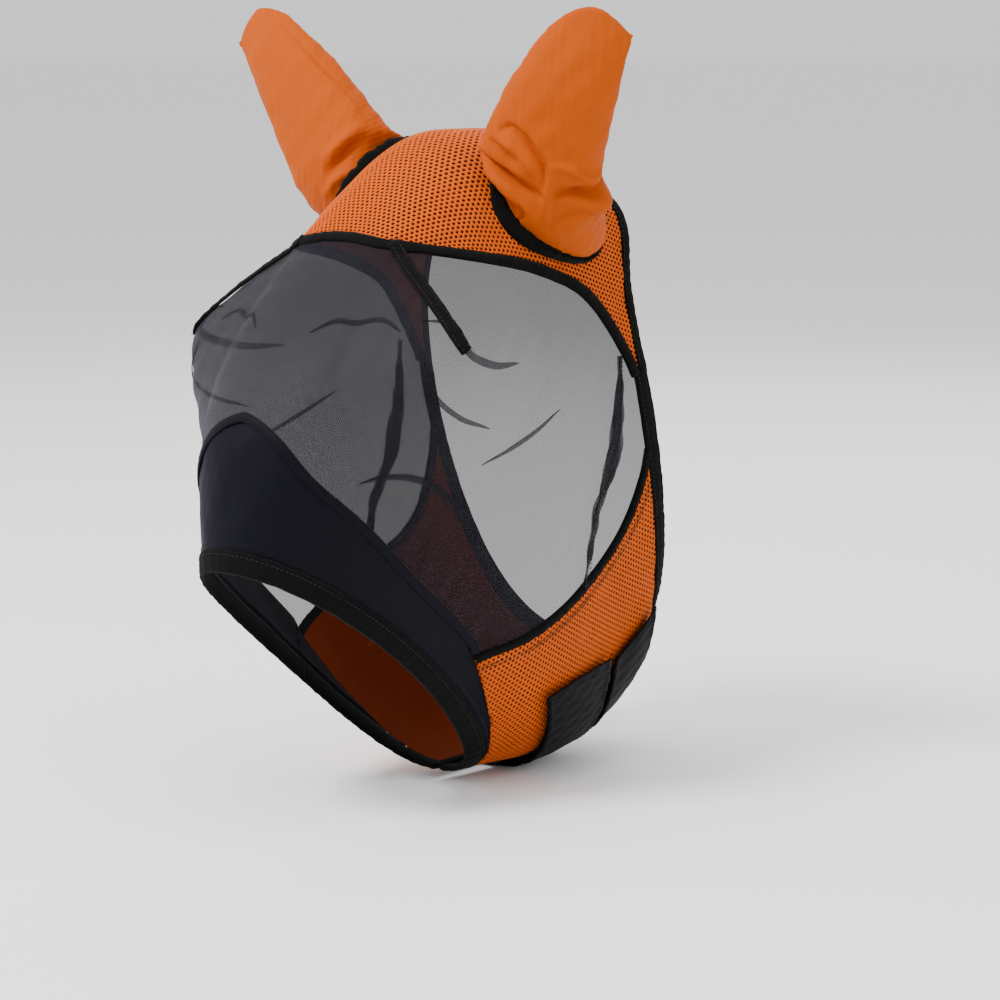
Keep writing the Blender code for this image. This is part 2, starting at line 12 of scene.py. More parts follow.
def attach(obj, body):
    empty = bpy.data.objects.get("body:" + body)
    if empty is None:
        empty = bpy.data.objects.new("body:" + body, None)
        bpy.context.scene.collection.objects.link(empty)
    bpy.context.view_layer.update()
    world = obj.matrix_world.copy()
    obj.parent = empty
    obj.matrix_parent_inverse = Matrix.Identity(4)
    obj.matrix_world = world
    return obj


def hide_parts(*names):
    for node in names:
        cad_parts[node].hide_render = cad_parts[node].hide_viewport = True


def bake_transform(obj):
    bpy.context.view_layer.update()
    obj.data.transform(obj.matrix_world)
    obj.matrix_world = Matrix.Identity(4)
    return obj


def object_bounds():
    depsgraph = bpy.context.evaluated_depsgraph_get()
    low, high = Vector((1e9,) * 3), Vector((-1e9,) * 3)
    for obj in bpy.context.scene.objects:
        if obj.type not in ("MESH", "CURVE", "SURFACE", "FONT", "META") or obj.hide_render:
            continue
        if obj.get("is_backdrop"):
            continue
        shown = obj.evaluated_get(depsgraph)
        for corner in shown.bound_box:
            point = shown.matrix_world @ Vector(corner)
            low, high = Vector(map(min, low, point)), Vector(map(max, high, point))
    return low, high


bl_info = {
    "name": "Fly Mask",
    "version": (1, 0, 0),
    "blender": (4, 5, 0),
    "location": "View3D > Sidebar > Fly Mask",
    "description": "Builds the visible fabric, bindings, stitching and stage of a horse fly mask",
    "category": "Add Mesh",
}

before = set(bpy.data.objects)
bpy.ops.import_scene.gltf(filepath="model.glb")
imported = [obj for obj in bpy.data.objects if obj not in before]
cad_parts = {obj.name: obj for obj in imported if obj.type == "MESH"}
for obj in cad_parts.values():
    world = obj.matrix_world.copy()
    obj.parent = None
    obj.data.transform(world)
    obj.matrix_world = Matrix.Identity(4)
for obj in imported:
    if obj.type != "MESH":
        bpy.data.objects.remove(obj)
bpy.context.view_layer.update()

# ---------------------------------------------------------------- sizes (metres)
REAR_WIDTH = 0.014
CROWN_REAR_WIDTH = 0.009
HEM_WIDTH = 0.016
BROW_WIDTH = 0.009
CHEEK_WIDTH = 0.007
CLOSING_WIDTH = 0.006
RING_WIDTH = 0.0135
DART_WIDTH = 0.0095
CROWN_REAR_END = 0.44
JAW_EDGE = 0.993
BASE_START = -0.900
TAB_HINGE = -0.983
TAB_LOW, TAB_HIGH = 0.0042, 0.0068
SEAM_V = -0.60              # where the lower right bindings begin, under the cheek binding

STATIONS = np.array([
    (0.00, 0.076, -0.008, 0.178, -0.378, 0.099, 0.50, 0.72, 0.72, 0.009),
    (0.20, 0.040, 0.004, 0.158, -0.416, 0.098, 0.47, 0.68, 0.72, 0.000),
    (0.40, -0.022, -0.008, 0.124, -0.438, 0.098, 0.44, 0.70, 0.72, 0.000),
    (0.55, -0.097, -0.058, 0.088, -0.445, 0.104, 0.42, 0.76, 0.72, 0.000),
    (0.70, -0.168, -0.122, 0.052, -0.448, 0.102, 0.42, 0.78, 0.74, 0.000),
    (0.85, -0.211, -0.192, 0.020, -0.448, 0.082, 0.45, 0.80, 0.78, -0.003),
    (1.00, -0.226, -0.280, -0.006, -0.448, 0.062, 0.48, 0.85, 0.80, -0.009),
])
DART_PEAK = np.array((0.0885, -0.0840, -0.1350))
DART_PEAK_LIFT = np.array((0.0340, -0.0430, 0.0020))
DART_PEAK_REACH = 0.074
DART_PEAK_ROUNDING = 0.007
DART_PEAK_RIDGE = np.array((-0.20, -0.66, -0.72))    # the tent runs on this way, towards the nose
DART_PEAK_STRETCH = 0.62
# Behind each ear the rear edge runs further back: middle and half width in v, reach in u, and how far.
POLL_FLARE_MIDDLE, POLL_FLARE_WIDTH, POLL_FLARE_REACH = 0.235, 0.085, 0.34
POLL_FLARE = np.array((0.0060, 0.0200, 0.0020))

BROW_LINE = [(0.567, 0.0), (0.566, 0.07), (0.54, 0.15), (0.497, 0.22), (0.403, 0.306),
             (0.28, 0.366), (0.173, 0.434), (0.09, 0.478), (0.0, 0.52)]
NOSE_LINE = [(0.823, 0.0), (0.842, 0.08), (0.866, 0.18), (0.87, 0.31), (0.866, 0.46), (0.83, 0.60)]
CHEEK_LINE = [(0.85, 0.609), (0.723, 0.638), (0.597, 0.648), (0.48, 0.642), (0.36, 0.625),
              (0.20, 0.573), (0.10, 0.535), (0.0, 0.49)]
JAW_FRONT = ((0.848, 0.612), (0.925, 0.993))
DART_TAPE_LINE = [(0.560, 0.090), (0.575, 0.14), (0.585, 0.22), (0.588, 0.296)]
CHEEK_DART_LINE = [(0.235, 0.435), (0.30, 0.508), (0.36, 0.548), (0.45, 0.587), (0.523, 0.645)]
TABS = {"front": ((0.445, 0.752), (0.702, 0.735)), "rear": ((0.165, 0.738), (0.415, 0.762))}
# Small tucks where the slack eye mesh doubles over itself: (u, v) points and width.
TUCKS = [
    ([(0.700, 0.050), (0.676, 0.085), (0.668, 0.120), (0.645, 0.160), (0.640, 0.200)], 0.0030),
    ([(0.610, 0.215), (0.582, 0.262), (0.585, 0.300), (0.560, 0.345), (0.520, 0.372)], 0.0036),
    ([(0.830, 0.270), (0.790, 0.310), (0.752, 0.365), (0.735, 0.430), (0.738, 0.480)], 0.0036),
    ([(0.660, 0.425), (0.600, 0.446), (0.540, 0.458), (0.470, 0.462)], 0.0022),
    ([(0.640, 0.250), (0.660, 0.300), (0.650, 0.350), (0.618, 0.400)], 0.0024),
]

EAR_RINGS = {"left": ((0.278, 0.217), (0.144, 0.090)), "right": ((0.281, -0.204), (0.146, 0.086))}
EAR_INNER_SIDE = [(-0.052, 0.034), (-0.050, 0.055), (-0.044, 0.087), (-0.035, 0.117)]
EAR_OUTER_SIDE = [(0.033, 0.034), (0.032, 0.060), (0.0290, 0.115), (0.028, 0.150)]
EAR_BASE_DEPTH = 0.026
EAR_TOP_DEPTH = 0.0025
EAR_FRAMES = {"left": ((0.078, 0.014, -0.046), (26, 20, 28)),
              "right": ((-0.086, 0.004, -0.046), (3, -33, -4))}


# ---------------------------------------------------------------- head form
def smooth_rows(keys, rows, at):
    """Rows interpolated along keys with continuous slope."""
    at = np.clip(at, keys[0], keys[-1])
    slopes = np.gradient(rows, keys, axis=0)
    i = np.clip(np.searchsorted(keys, at, side="right") - 1, 0, len(keys) - 2)
    span = (keys[i + 1] - keys[i])[..., None]
    s = (at - keys[i])[..., None] / span
    start = (2 * s**3 - 3 * s**2 + 1) * rows[i] + (s**3 - 2 * s**2 + s) * slopes[i] * span
    end = (3 * s**2 - 2 * s**3) * rows[i + 1] + (s**3 - s**2) * slopes[i + 1] * span
    return start + end


def form_point(u, v):
    """Points of the head form: u from the rear opening to the hem, v from the forehead to the jaw."""
    u, v = np.broadcast_arrays(np.asarray(u, float), np.asarray(v, float))
    v = np.mod(v + 1, 2) - 1
    row = smooth_rows(STATIONS[:, 0], STATIONS[:, 1:], u)
    top_y, top_z, jaw_y, jaw_z, half, share, top_full, jaw_full, bow = np.moveaxis(row, -1, 0)
    turn = np.pi * np.abs(v)
    sine = np.clip(np.sin(turn), 0, 1)
    cosine = np.cos(turn)
    x = np.sign(v) * half * sine ** np.where(cosine > 0, top_full, jaw_full)
    depth = np.where(cosine > 0, share * (1 - cosine), share - (1 - share) * cosine)
    dy, dz = jaw_y - top_y, jaw_z - top_z
    length = np.hypot(dy, dz)
    y = top_y + dy * depth + dz / length * bow * sine**2
    z = top_z + dz * depth - dy / length * bow * sine**2
    points = np.stack([x, y, z], -1)
    flare = np.exp(-((np.abs(v) - POLL_FLARE_MIDDLE) / POLL_FLARE_WIDTH) ** 2)
    flare = flare * np.clip(1 - u / POLL_FLARE_REACH, 0, 1) ** 1.5
    sides = np.stack([np.sign(v), np.ones_like(v), np.ones_like(v)], -1)
    points = points + flare[..., None] * POLL_FLARE * sides
    tent = np.zeros_like(points)
    for side in (1, -1):
        mirror = np.array((side, 1, 1))
        away = points - DART_PEAK * mirror
        ahead = np.clip(away @ (DART_PEAK_RIDGE * mirror), 0, None)
        apart = np.sqrt(np.sum(away**2, -1) - DART_PEAK_STRETCH * ahead**2 + DART_PEAK_ROUNDING**2)
        share = np.clip(1 - apart / DART_PEAK_REACH, 0, 1) ** 1.25
        tent = tent + share[..., None] * DART_PEAK_LIFT * mirror
    return points + tent


def form_slopes(u, v):
    step = 1e-3
    u = np.clip(u, 0, 1)
    low, high = np.maximum(u - step, 0), np.minimum(u + step, 1)
    along = (form_point(high, v) - form_point(low, v)) / (high - low)[..., None]
    across = (form_point(u, v + step) - form_point(u, v - step)) / (2 * step)
    return along, across


def form_normal(u, v):
    along, across = form_slopes(u, v)
    normal = np.cross(along, across)
    return normal / np.linalg.norm(normal, axis=-1, keepdims=True)


def lifted(line, height=0.0):
    """Points at a height over the head form; the height may differ from point to point."""
    u, v = line[..., 0], line[..., 1]
    return form_point(u, v) + form_normal(u, v) * np.asarray(height, float)[..., None]


def run_length(points):
    return np.concatenate([[0], np.cumsum(np.linalg.norm(np.diff(points, axis=0), axis=1))])


def resampled(line, count):
    """A dense (u, v) line cut into count even steps of real length."""
    run = run_length(form_point(line[:, 0], line[:, 1]))
    at = np.linspace(0, run[-1], count + 1)
    return np.stack([np.interp(at, run, line[:, k]) for k in (0, 1)], -1)


def smooth_line(few_points, count=160):
    points = np.array(few_points, float)
    return smooth_rows(run_length(points), points, np.linspace(0, run_length(points)[-1], count))


def shifted(line, distance, steps=4):
    """A line moved sideways over the form; a positive distance is to the left of its direction."""
    line = line.copy()
    for _ in range(steps):
        along, across = form_slopes(line[:, 0], line[:, 1])
        trend = np.gradient(line, axis=0)
        ahead = along * trend[:, :1] + across * trend[:, 1:]
        ahead /= np.linalg.norm(ahead, axis=1, keepdims=True)
        normal = np.cross(along, across)
        normal /= np.linalg.norm(normal, axis=1, keepdims=True)
        aside = np.cross(normal, ahead) * np.reshape(distance, (-1, 1)) / steps
        aa, ab, bb = (np.sum(p * q, 1) for p, q in ((along, along), (along, across), (across, across)))
        ra, rb = np.sum(aside * along, 1), np.sum(aside * across, 1)
        scale = aa * bb - ab * ab
        line = line + np.stack([(ra * bb - rb * ab) / scale, (rb * aa - ra * ab) / scale], -1)
    return line


def mirrored(line):
    return line * np.array((1, -1))


def clear_of_ends(line, rear=0.0, hem=0.0):
    """The stretch of a line that keeps a distance from the rear opening and from the nose hem."""
    points = form_point(line[:, 0], line[:, 1])
    keep = np.ones(len(line), bool)
    for u, least in ((0.0, rear), (1.0, hem)):
        edge = form_point(u, np.linspace(-1, 1, 500))
        keep &= np.linalg.norm(points[:, None] - edge[None], axis=2).min(axis=1) >= least
    return line[keep]


def behind_jaw_front(line, margin=0.006, rear=REAR_WIDTH - 0.004, hem=HEM_WIDTH - 0.004):
    (top_u, top_v), (low_u, low_v) = JAW_FRONT
    front = np.interp(np.abs(line[:, 1]), (top_v, low_v), (top_u, low_u))
    return clear_of_ends(line[line[:, 0] < front - margin], rear, hem)


def rear_line(inset, start, end, count=400):
    line = np.stack([np.zeros(count), np.linspace(start, end, count)], -1)
    return shifted(line, -inset if end > start else inset)


def hem_line(inset, start, end, count=400):
    line = np.stack([np.ones(count), np.linspace(start, end, count)], -1)
    return shifted(line, inset if end > start else -inset)


def along_jaw(v, count=300):
    return np.stack([np.linspace(0, 1, count), np.full(count, float(v))], -1)


def full_line(half_line, distance=0.0):
    """A seam over both sides of the face, from the left end to the right end, moved sideways."""
    return shifted(np.concatenate([half_line[::-1], mirrored(half_line)[1:]]), distance)


BROW, NOSE, CHEEK = (smooth_line(few) for few in (BROW_LINE, NOSE_LINE, CHEEK_LINE))


def unevenness(points, size, seed):
    """Smooth wandering values between about -1 and 1, for slight waves in cloth."""
    draw = np.random.default_rng(seed)
    total = np.zeros(points.shape[:-1])
    for octave in range(5):
        way = draw.normal(size=3)
        way *= 2 * np.pi / (size * 0.72**octave) / np.linalg.norm(way)
        total += np.sin(points @ way + draw.uniform(0, 2 * np.pi)) / 3
    return total


# ---------------------------------------------------------------- finishes
def group_tree(name, inputs, outputs):
    """A shader node group with named sockets, made once."""
    tree = bpy.data.node_groups.get(name)
    if tree is not None:
        return tree, True
    tree = bpy.data.node_groups.new(name, "ShaderNodeTree")
    for label, kind, value in inputs:
        socket = tree.interface.new_socket(name=label, in_out="INPUT", socket_type=kind)
        socket.default_value = value
    for label, kind in outputs:
        tree.interface.new_socket(name=label, in_out="OUTPUT", socket_type=kind)
    return tree, False


def node_in(tree, kind, inputs=None, **settings):
    made = tree.nodes.new(kind)
    for key, value in settings.items():
        setattr(made, key, value)
    for key, value in (inputs or {}).items():
        if isinstance(value, bpy.types.NodeSocket):
            tree.links.new(value, made.inputs[key])
        else:
            made.inputs[key].default_value = value
    return made


def maths(tree, operation, *values):
    return node_in(tree, "ShaderNodeMath", dict(enumerate(values)), operation=operation).outputs[0]


def cloth_tone_group():
    """Colour that wanders between two shades, as dye takes unevenly."""
    tree, ready = group_tree(
        "Cloth Tone",
        [("Colour", "NodeSocketColor", (0.5, 0.5, 0.5, 1)), ("Shade", "NodeSocketColor", (0.4, 0.4, 0.4, 1)),
         ("Patch Scale", "NodeSocketFloat", 18.0), ("Fleck Scale", "NodeSocketFloat", 900.0),
         ("Fleck", "NodeSocketFloat", 0.3)],
        [("Colour", "NodeSocketColor"), ("Fleck Mask", "NodeSocketFloat")])
    if ready:
        return tree
    given, out = tree.nodes.new("NodeGroupInput"), tree.nodes.new("NodeGroupOutput")
    where = node_in(tree, "ShaderNodeTexCoord").outputs["Object"]
    patch = node_in(tree, "ShaderNodeTexNoise", {"Vector": where, "Scale": given.outputs["Patch Scale"],
                                                 "Detail": 3.0, "Roughness": 0.6})
    fleck = node_in(tree, "ShaderNodeTexNoise", {"Vector": where, "Scale": given.outputs["Fleck Scale"],
                                                 "Detail": 2.0})
    amount = maths(tree, "MULTIPLY", fleck.outputs["Fac"], given.outputs["Fleck"])
    total = maths(tree, "ADD", maths(tree, "MULTIPLY", patch.outputs["Fac"], 0.7), amount)
    mix = node_in(tree, "ShaderNodeMix", {"Factor": total}, data_type="RGBA")
    tree.links.new(given.outputs["Colour"], mix.inputs["A"])
    tree.links.new(given.outputs["Shade"], mix.inputs["B"])
    tree.links.new(mix.outputs["Result"], out.inputs["Colour"])
    tree.links.new(fleck.outputs["Fac"], out.inputs["Fleck Mask"])
    return tree


def thread_group():
    """Crossed threads at a pitch in metres, laid out on the cloth's own flat pattern."""
    tree, ready = group_tree(
        "Crossed Threads",
        [("Pitch Across", "NodeSocketFloat", 0.001), ("Pitch Along", "NodeSocketFloat", 0.001),
         ("Thread Share", "NodeSocketFloat", 0.4)],
        [("Height", "NodeSocketFloat"), ("Thread Mask", "NodeSocketFloat")])
    if ready:
        return tree
    given, out = tree.nodes.new("NodeGroupInput"), tree.nodes.new("NodeGroupOutput")
    pattern = node_in(tree, "ShaderNodeUVMap", uv_map="cloth").outputs["UV"]
    wobble = node_in(tree, "ShaderNodeTexNoise", {"Vector": pattern, "Scale": 160.0, "Detail": 1.0})
    parts = node_in(tree, "ShaderNodeSeparateXYZ", {"Vector": pattern})
    waves = []
    for axis, pitch in (("X", "Pitch Across"), ("Y", "Pitch Along")):
        drift = maths(tree, "MULTIPLY", wobble.outputs["Fac"], 0.9)
        turns = maths(tree, "ADD", maths(tree, "DIVIDE", parts.outputs[axis], given.outputs[pitch]), drift)
        away = maths(tree, "ABSOLUTE", maths(tree, "SUBTRACT", maths(tree, "FRACT", turns), 0.5))
        waves.append(maths(tree, "MULTIPLY", away, 2.0))
    height = maths(tree, "MAXIMUM", *waves)
    edge = maths(tree, "SUBTRACT", 1.0, given.outputs["Thread Share"])
    mask = node_in(tree, "ShaderNodeMapRange", {"Value": height}, interpolation_type="SMOOTHSTEP")
    tree.links.new(maths(tree, "SUBTRACT", edge, 0.12), mask.inputs["From Min"])
    tree.links.new(maths(tree, "ADD", edge, 0.12), mask.inputs["From Max"])
    tree.links.new(height, out.inputs["Height"])
    tree.links.new(mask.outputs["Result"], out.inputs["Thread Mask"])
    return tree


def nap_group():
    """Short brushed fibres: a coarse and a fine noise together."""
    tree, ready = group_tree(
        "Brushed Nap",
        [("Fibre Scale", "NodeSocketFloat", 1500.0), ("Clump Scale", "NodeSocketFloat", 300.0)],
        [("Height", "NodeSocketFloat")])
    if ready:
        return tree
    given, out = tree.nodes.new("NodeGroupInput"), tree.nodes.new("NodeGroupOutput")
    where = node_in(tree, "ShaderNodeTexCoord").outputs["Object"]
    fine = node_in(tree, "ShaderNodeTexNoise", {"Vector": where, "Scale": given.outputs["Fibre Scale"],
                                                "Detail": 2.0})
    clump = node_in(tree, "ShaderNodeTexNoise", {"Vector": where, "Scale": given.outputs["Clump Scale"],
                                                 "Detail": 2.0})
    both = maths(tree, "ADD", fine.outputs["Fac"], clump.outputs["Fac"])
    tree.links.new(maths(tree, "MULTIPLY", both, 0.5), out.inputs["Height"])
    return tree


def finish(name, colour, shade, rough, fleck=0.3, fleck_scale=900.0, weave=None, nap=None, bump=0.4,
           distance=0.0003, sheen=0.0, sheen_tint=(1, 1, 1), see_through=None):
    """A cloth finish. weave is (pitch across, pitch along, thread share) in metres, nap (fibre, clump)."""
    material = bpy.data.materials.new(name)
    material.use_nodes = True
    tree = material.node_tree
    shader = tree.nodes["Principled BSDF"]
    tone = node_in(tree, "ShaderNodeGroup", node_tree=cloth_tone_group())
    tone.inputs["Colour"].default_value = (*colour, 1)
    tone.inputs["Shade"].default_value = (*shade, 1)
    tone.inputs["Fleck Scale"].default_value = fleck_scale
    tone.inputs["Fleck"].default_value = fleck
    tree.links.new(tone.outputs["Colour"], shader.inputs["Base Color"])
    rough_range = node_in(tree, "ShaderNodeMapRange", {"Value": tone.outputs["Fleck Mask"], "From Min": 0.3,
                                                       "From Max": 0.7, "To Min": rough - 0.07,
                                                       "To Max": min(rough + 0.07, 1.0)})
    tree.links.new(rough_range.outputs["Result"], shader.inputs["Roughness"])
    shader.inputs["Specular IOR Level"].default_value = 0.08
    shader.inputs["Sheen Weight"].default_value = sheen
    shader.inputs["Sheen Roughness"].default_value = 0.45
    shader.inputs["Sheen Tint"].default_value = (*sheen_tint, 1)
    height = None
    if weave:
        threads = node_in(tree, "ShaderNodeGroup", node_tree=thread_group())
        for label, value in zip(("Pitch Across", "Pitch Along", "Thread Share"), weave):
            threads.inputs[label].default_value = value
        height = threads.outputs["Height"]
    if nap:
        fibres = node_in(tree, "ShaderNodeGroup", node_tree=nap_group())
        fibres.inputs["Fibre Scale"].default_value, fibres.inputs["Clump Scale"].default_value = nap
        height = fibres.outputs["Height"]
    if height is not None:
        relief = node_in(tree, "ShaderNodeBump", {"Height": height, "Strength": bump, "Distance": distance})
        tree.links.new(relief.outputs["Normal"], shader.inputs["Normal"])
    if see_through:
        open_alpha, thread_alpha = see_through
        cover = node_in(tree, "ShaderNodeMapRange", {"Value": threads.outputs["Thread Mask"],
                                                     "To Min": open_alpha, "To Max": thread_alpha})
        tree.links.new(cover.outputs["Result"], shader.inputs["Alpha"])
    return material


def finishes():
    """Every finish of the mask, made once from the colours in the sidebar."""
    hue = bpy.context.scene.fly_mask_colours
    ready = bpy.data.materials.get("spacer_mesh_face")
    if ready is None:
        black = tuple(hue.binding)
        finish("spacer_mesh_face", tuple(hue.spacer), tuple(c * 0.72 for c in hue.spacer), 0.6, 0.25, 1400,
               nap=(2600.0, 900.0), bump=0.45, distance=0.0002, sheen=0.10, sheen_tint=(1.0, 0.55, 0.25))
        # The backing is a real layer, but its colour is far darker than the face's as painted shade for the
        # recesses seen through the holes.
        finish("spacer_backing_painted_shade", tuple(hue.core), tuple(c * 0.6 for c in hue.core), 0.85, 0.15, 1200,
               weave=(0.0013, 0.0013, 0.5), bump=0.6)
        finish("ear_knit", tuple(hue.ear), tuple(c * 0.86 for c in hue.ear), 0.75, 0.15, 2200,
               nap=(2600.0, 800.0), bump=0.35, distance=0.00015, sheen=0.05,
               sheen_tint=(1.0, 0.55, 0.25))
        finish("sheer_net", tuple(hue.net), tuple(c * 1.4 for c in hue.net), 0.6, 0.2, 1500,
               weave=(0.0013, 0.0013, 0.42), bump=0.2, distance=0.0001, sheen=0.05,
               sheen_tint=(0.7, 0.7, 1.0), see_through=(0.66, 0.86))
        finish("nose_lycra", tuple(hue.nose), tuple(c * 1.35 for c in hue.nose), 0.62, 0.25, 2500,
               weave=(0.0006, 0.0009, 0.4), bump=0.2, distance=0.0001, sheen=0.02, sheen_tint=(0.5, 0.5, 0.9))
        finish("fleece_binding", black, tuple(c * 1.9 for c in black), 0.92, 0.2, 1800,
               nap=(1900.0, 420.0), bump=0.8, distance=0.0005, sheen=0.02, sheen_tint=(0.7, 0.75, 0.7))
        finish("tab_cloth", tuple(hue.tab), tuple(c * 1.4 for c in hue.tab), 0.65, 0.2, 1500,
               nap=(2500.0, 900.0), bump=0.2, distance=0.0001, sheen=0.0, sheen_tint=(0.5, 0.55, 0.9))
        finish("hook_pile", (0.004, 0.004, 0.0065), (0.014, 0.014, 0.018), 0.85, 0.2, 1500,
               nap=(900.0, 500.0), bump=1.0, distance=0.0006)
        finish("seam_thread", (0.045, 0.032, 0.02), (0.09, 0.065, 0.04), 0.6, 0.2, 3000)
        finish("black_thread", (0.012, 0.013, 0.012), (0.028, 0.028, 0.028), 0.55, 0.3, 3000)
    return bpy.data.materials


def new_piece(name, points, faces, finish_name, corner_uv=None):
    """A piece from points and faces; corner_uv holds the flat pattern for each corner of each face."""
    mesh = bpy.data.meshes.new(name)
    mesh.from_pydata(np.asarray(points).reshape(-1, 3).tolist(), [], [tuple(map(int, f)) for f in faces])
    mesh.materials.append(finishes()[finish_name])
    if corner_uv is not None:
        layer = mesh.uv_layers.new(name="cloth")
        layer.data.foreach_set("uv", np.asarray(corner_uv, np.float32).reshape(-1))
    mesh.shade_smooth()
    piece = bpy.data.objects.new(name, mesh)
    bpy.context.scene.collection.objects.link(piece)
    return piece


def grid_faces(rows, columns, closed=False):
    index = np.arange(rows * columns).reshape(rows, columns)
    wrap = columns if closed else columns - 1
    cells = [(r, c) for r in range(rows - 1) for c in range(wrap)]
    faces = [(index[r, c], index[r + 1, c], index[r + 1, (c + 1) % columns], index[r, (c + 1) % columns])
             for r, c in cells]
    corners = [((r, c), (r + 1, c), (r + 1, c + 1), (r, c + 1)) for r, c in cells]
    return faces, corners


def grid_piece(name, points, finish_name, closed=False, thickness=0.0):
    """A sheet from a grid of points, its flat pattern laid out in real lengths."""
    rows, columns = points.shape[:2]
    faces, corners = grid_faces(rows, columns, closed)
    ring = np.concatenate([points, points[:, :1]], 1) if closed else points
    across = np.cumsum(np.linalg.norm(np.diff(ring, axis=1), axis=2), axis=1)
    across = np.concatenate([np.zeros((rows, 1)), across], 1)
    across -= across[:, -1:] / 2
    along = np.cumsum(np.linalg.norm(np.diff(ring, axis=0), axis=2), axis=0)
    along = np.concatenate([np.zeros((1, ring.shape[1])), along], 0)
    flat = np.stack([across, along], -1)
    uv = [flat[r, c] for face in corners for r, c in face]
    piece = new_piece(name, points, faces, finish_name, uv)
    if thickness:
        thicken(piece, thickness)
    return piece


def settled(piece):
    """Applies a piece's modifiers to its mesh."""
    bpy.context.view_layer.update()
    solid = bpy.data.meshes.new_from_object(piece.evaluated_get(bpy.context.evaluated_depsgraph_get()))
    piece.modifiers.clear()
    old = piece.data
    piece.data = solid
    solid.name = old.name
    bpy.data.meshes.remove(old)
    return piece


def thicken(piece, thickness, offset=1.0):
    shell = piece.modifiers.new("thickness", "SOLIDIFY")
    shell.thickness = thickness
    shell.offset = offset
    return settled(piece)


def facing_out(piece):
    """Turns the faces of a closed mesh outwards."""
    work = bmesh.new()
    work.from_mesh(piece.data)
    bmesh.ops.recalc_face_normals(work, faces=work.faces)
    if work.calc_volume(signed=True) < 0:
        bmesh.ops.reverse_faces(work, faces=work.faces)
    work.to_mesh(piece.data)
    work.free()
    return piece


def between(first, second, columns, rows):
    """(u, v) grid between two lines; first is on the left of the way they run."""
    a, b = resampled(first, columns), resampled(second, columns)
    share = np.linspace(0, 1, rows + 1)[:, None, None]
    return a * (1 - share) + b * share


# Cross-section of a folded binding: share of the half width, share of the height.
TAPE_SECTION = [(-1.0, 0.45), (-0.9, 0.80), (-0.74, 0.97), (-0.58, 0.86), (-0.42, 1.0), (0.0, 1.0),
                (0.42, 1.0), (0.58, 0.86), (0.74, 0.97), (0.9, 0.80), (1.0, 0.45), (0.85, 0.08), (0.0, 0.0),
                (-0.85, 0.08)]


def tape(name, line, width, low, high, closed=False, step=0.0024, seed=1, finish_name="fleece_binding",
         pucker=0.10, taper=0.0):
    """A binding swept along a line of the form, slightly gathered between its stitches."""
    length = run_length(form_point(line[:, 0], line[:, 1]))[-1]
    count = max(10, round(length / step))
    middle = resampled(line, count)
    at = np.linspace(0, length, count + 1)
    if closed:
        middle = np.concatenate([middle[-4:-1], middle, middle[1:4]])
        at = np.concatenate([at[-4:-1] - length, at, at[1:4] + length])
    base = form_point(middle[:, 0], middle[:, 1])
    wave = 0.5 * np.sin(2 * np.pi * at / 0.0082) + unevenness(base, 0.022, seed)
    edge = unevenness(base, 0.03, seed + 1)
    tall = (high - low) * (1 + pucker * wave)
    half = width / 2 * (1 + 0.035 * edge)
    if taper:
        ends = np.clip(np.minimum(at, length - at) / taper, 0, 1)
        half = half * (0.25 + 0.75 * np.sqrt(ends))
    ring = []
    for share, rise in TAPE_SECTION:
        line_at = shifted(middle, half * share)
        ring.append(lifted(line_at, low + tall * rise))
    points = np.stack(ring, 1)
    if closed:
        points = points[3:-4]
    rows, columns = points.shape[:2]
    if closed:
        points = points.transpose(1, 0, 2)
        points = np.concatenate([points, points[:1]])
        rows, columns = points.shape[:2]
        faces, corners = grid_faces(rows, columns, True)
        wrap = (rows - 1) * columns
        faces = [tuple((i if i < wrap else i - wrap) for i in f) for f in faces]
        uv = [(c * step, r * 0.0012) for face in corners for r, c in face]
        piece = new_piece(name, points[:-1], faces, finish_name, uv)
    else:
        faces, corners = grid_faces(rows, columns, True)
        uv = [(c * 0.0012, r * step) for face in corners for r, c in face]
        last = (rows - 1) * columns
        faces += [tuple(range(columns)), tuple(range(last + columns - 1, last - 1, -1))]
        uv += [(0.0, 0.0)] * (2 * columns)
        piece = new_piece(name, points, faces, finish_name, uv)
    return facing_out(piece)


def stitch_row(name, line, height, finish_name="black_thread", pitch=0.0034, length=0.0024, thick=0.00030,
               seed=5):
    """Separate sewn stitches along a line, each a small arched bead of thread."""
    total = run_length(form_point(line[:, 0], line[:, 1]))[-1]
    count = max(3, int(total / pitch))
    middle = resampled(line, count * 2)[1::2]
    draw = np.random.default_rng(seed)
    place = lifted(middle, height)
    ahead = np.gradient(place, axis=0)
    ahead /= np.linalg.norm(ahead, axis=1, keepdims=True)
    up = form_normal(middle[:, 0], middle[:, 1])
    side = np.cross(up, ahead)
    ahead = ahead + side * draw.normal(0, 0.06, (len(place), 1))
    sides = 6
    spin = np.linspace(0, 2 * np.pi, sides, endpoint=False)
    points, faces = [], []
    steps = [(-0.5, 0.35, -0.6), (-0.34, 0.9, 0.1), (0.0, 1.0, 0.35), (0.34, 0.9, 0.1), (0.5, 0.35, -0.6)]
    for i in range(len(place)):
        start = len(points) * sides
        for along, girth, rise in steps:
            centre = place[i] + ahead[i] * along * length + up[i] * rise * thick
            spoke = np.cos(spin)[:, None] * side[i] + np.sin(spin)[:, None] * up[i]
            points.append(centre + thick * girth * spoke)
        for s in range(len(steps) - 1):
            for k in range(sides):
                a, b = start + s * sides + k, start + s * sides + (k + 1) % sides
                faces.append((a, b, b + sides, a + sides))
        faces.append(tuple(range(start + sides - 1, start - 1, -1)))
        faces.append(tuple(range(start + (len(steps) - 1) * sides, start + len(steps) * sides)))
    return facing_out(new_piece(name, np.concatenate(points), faces, finish_name))


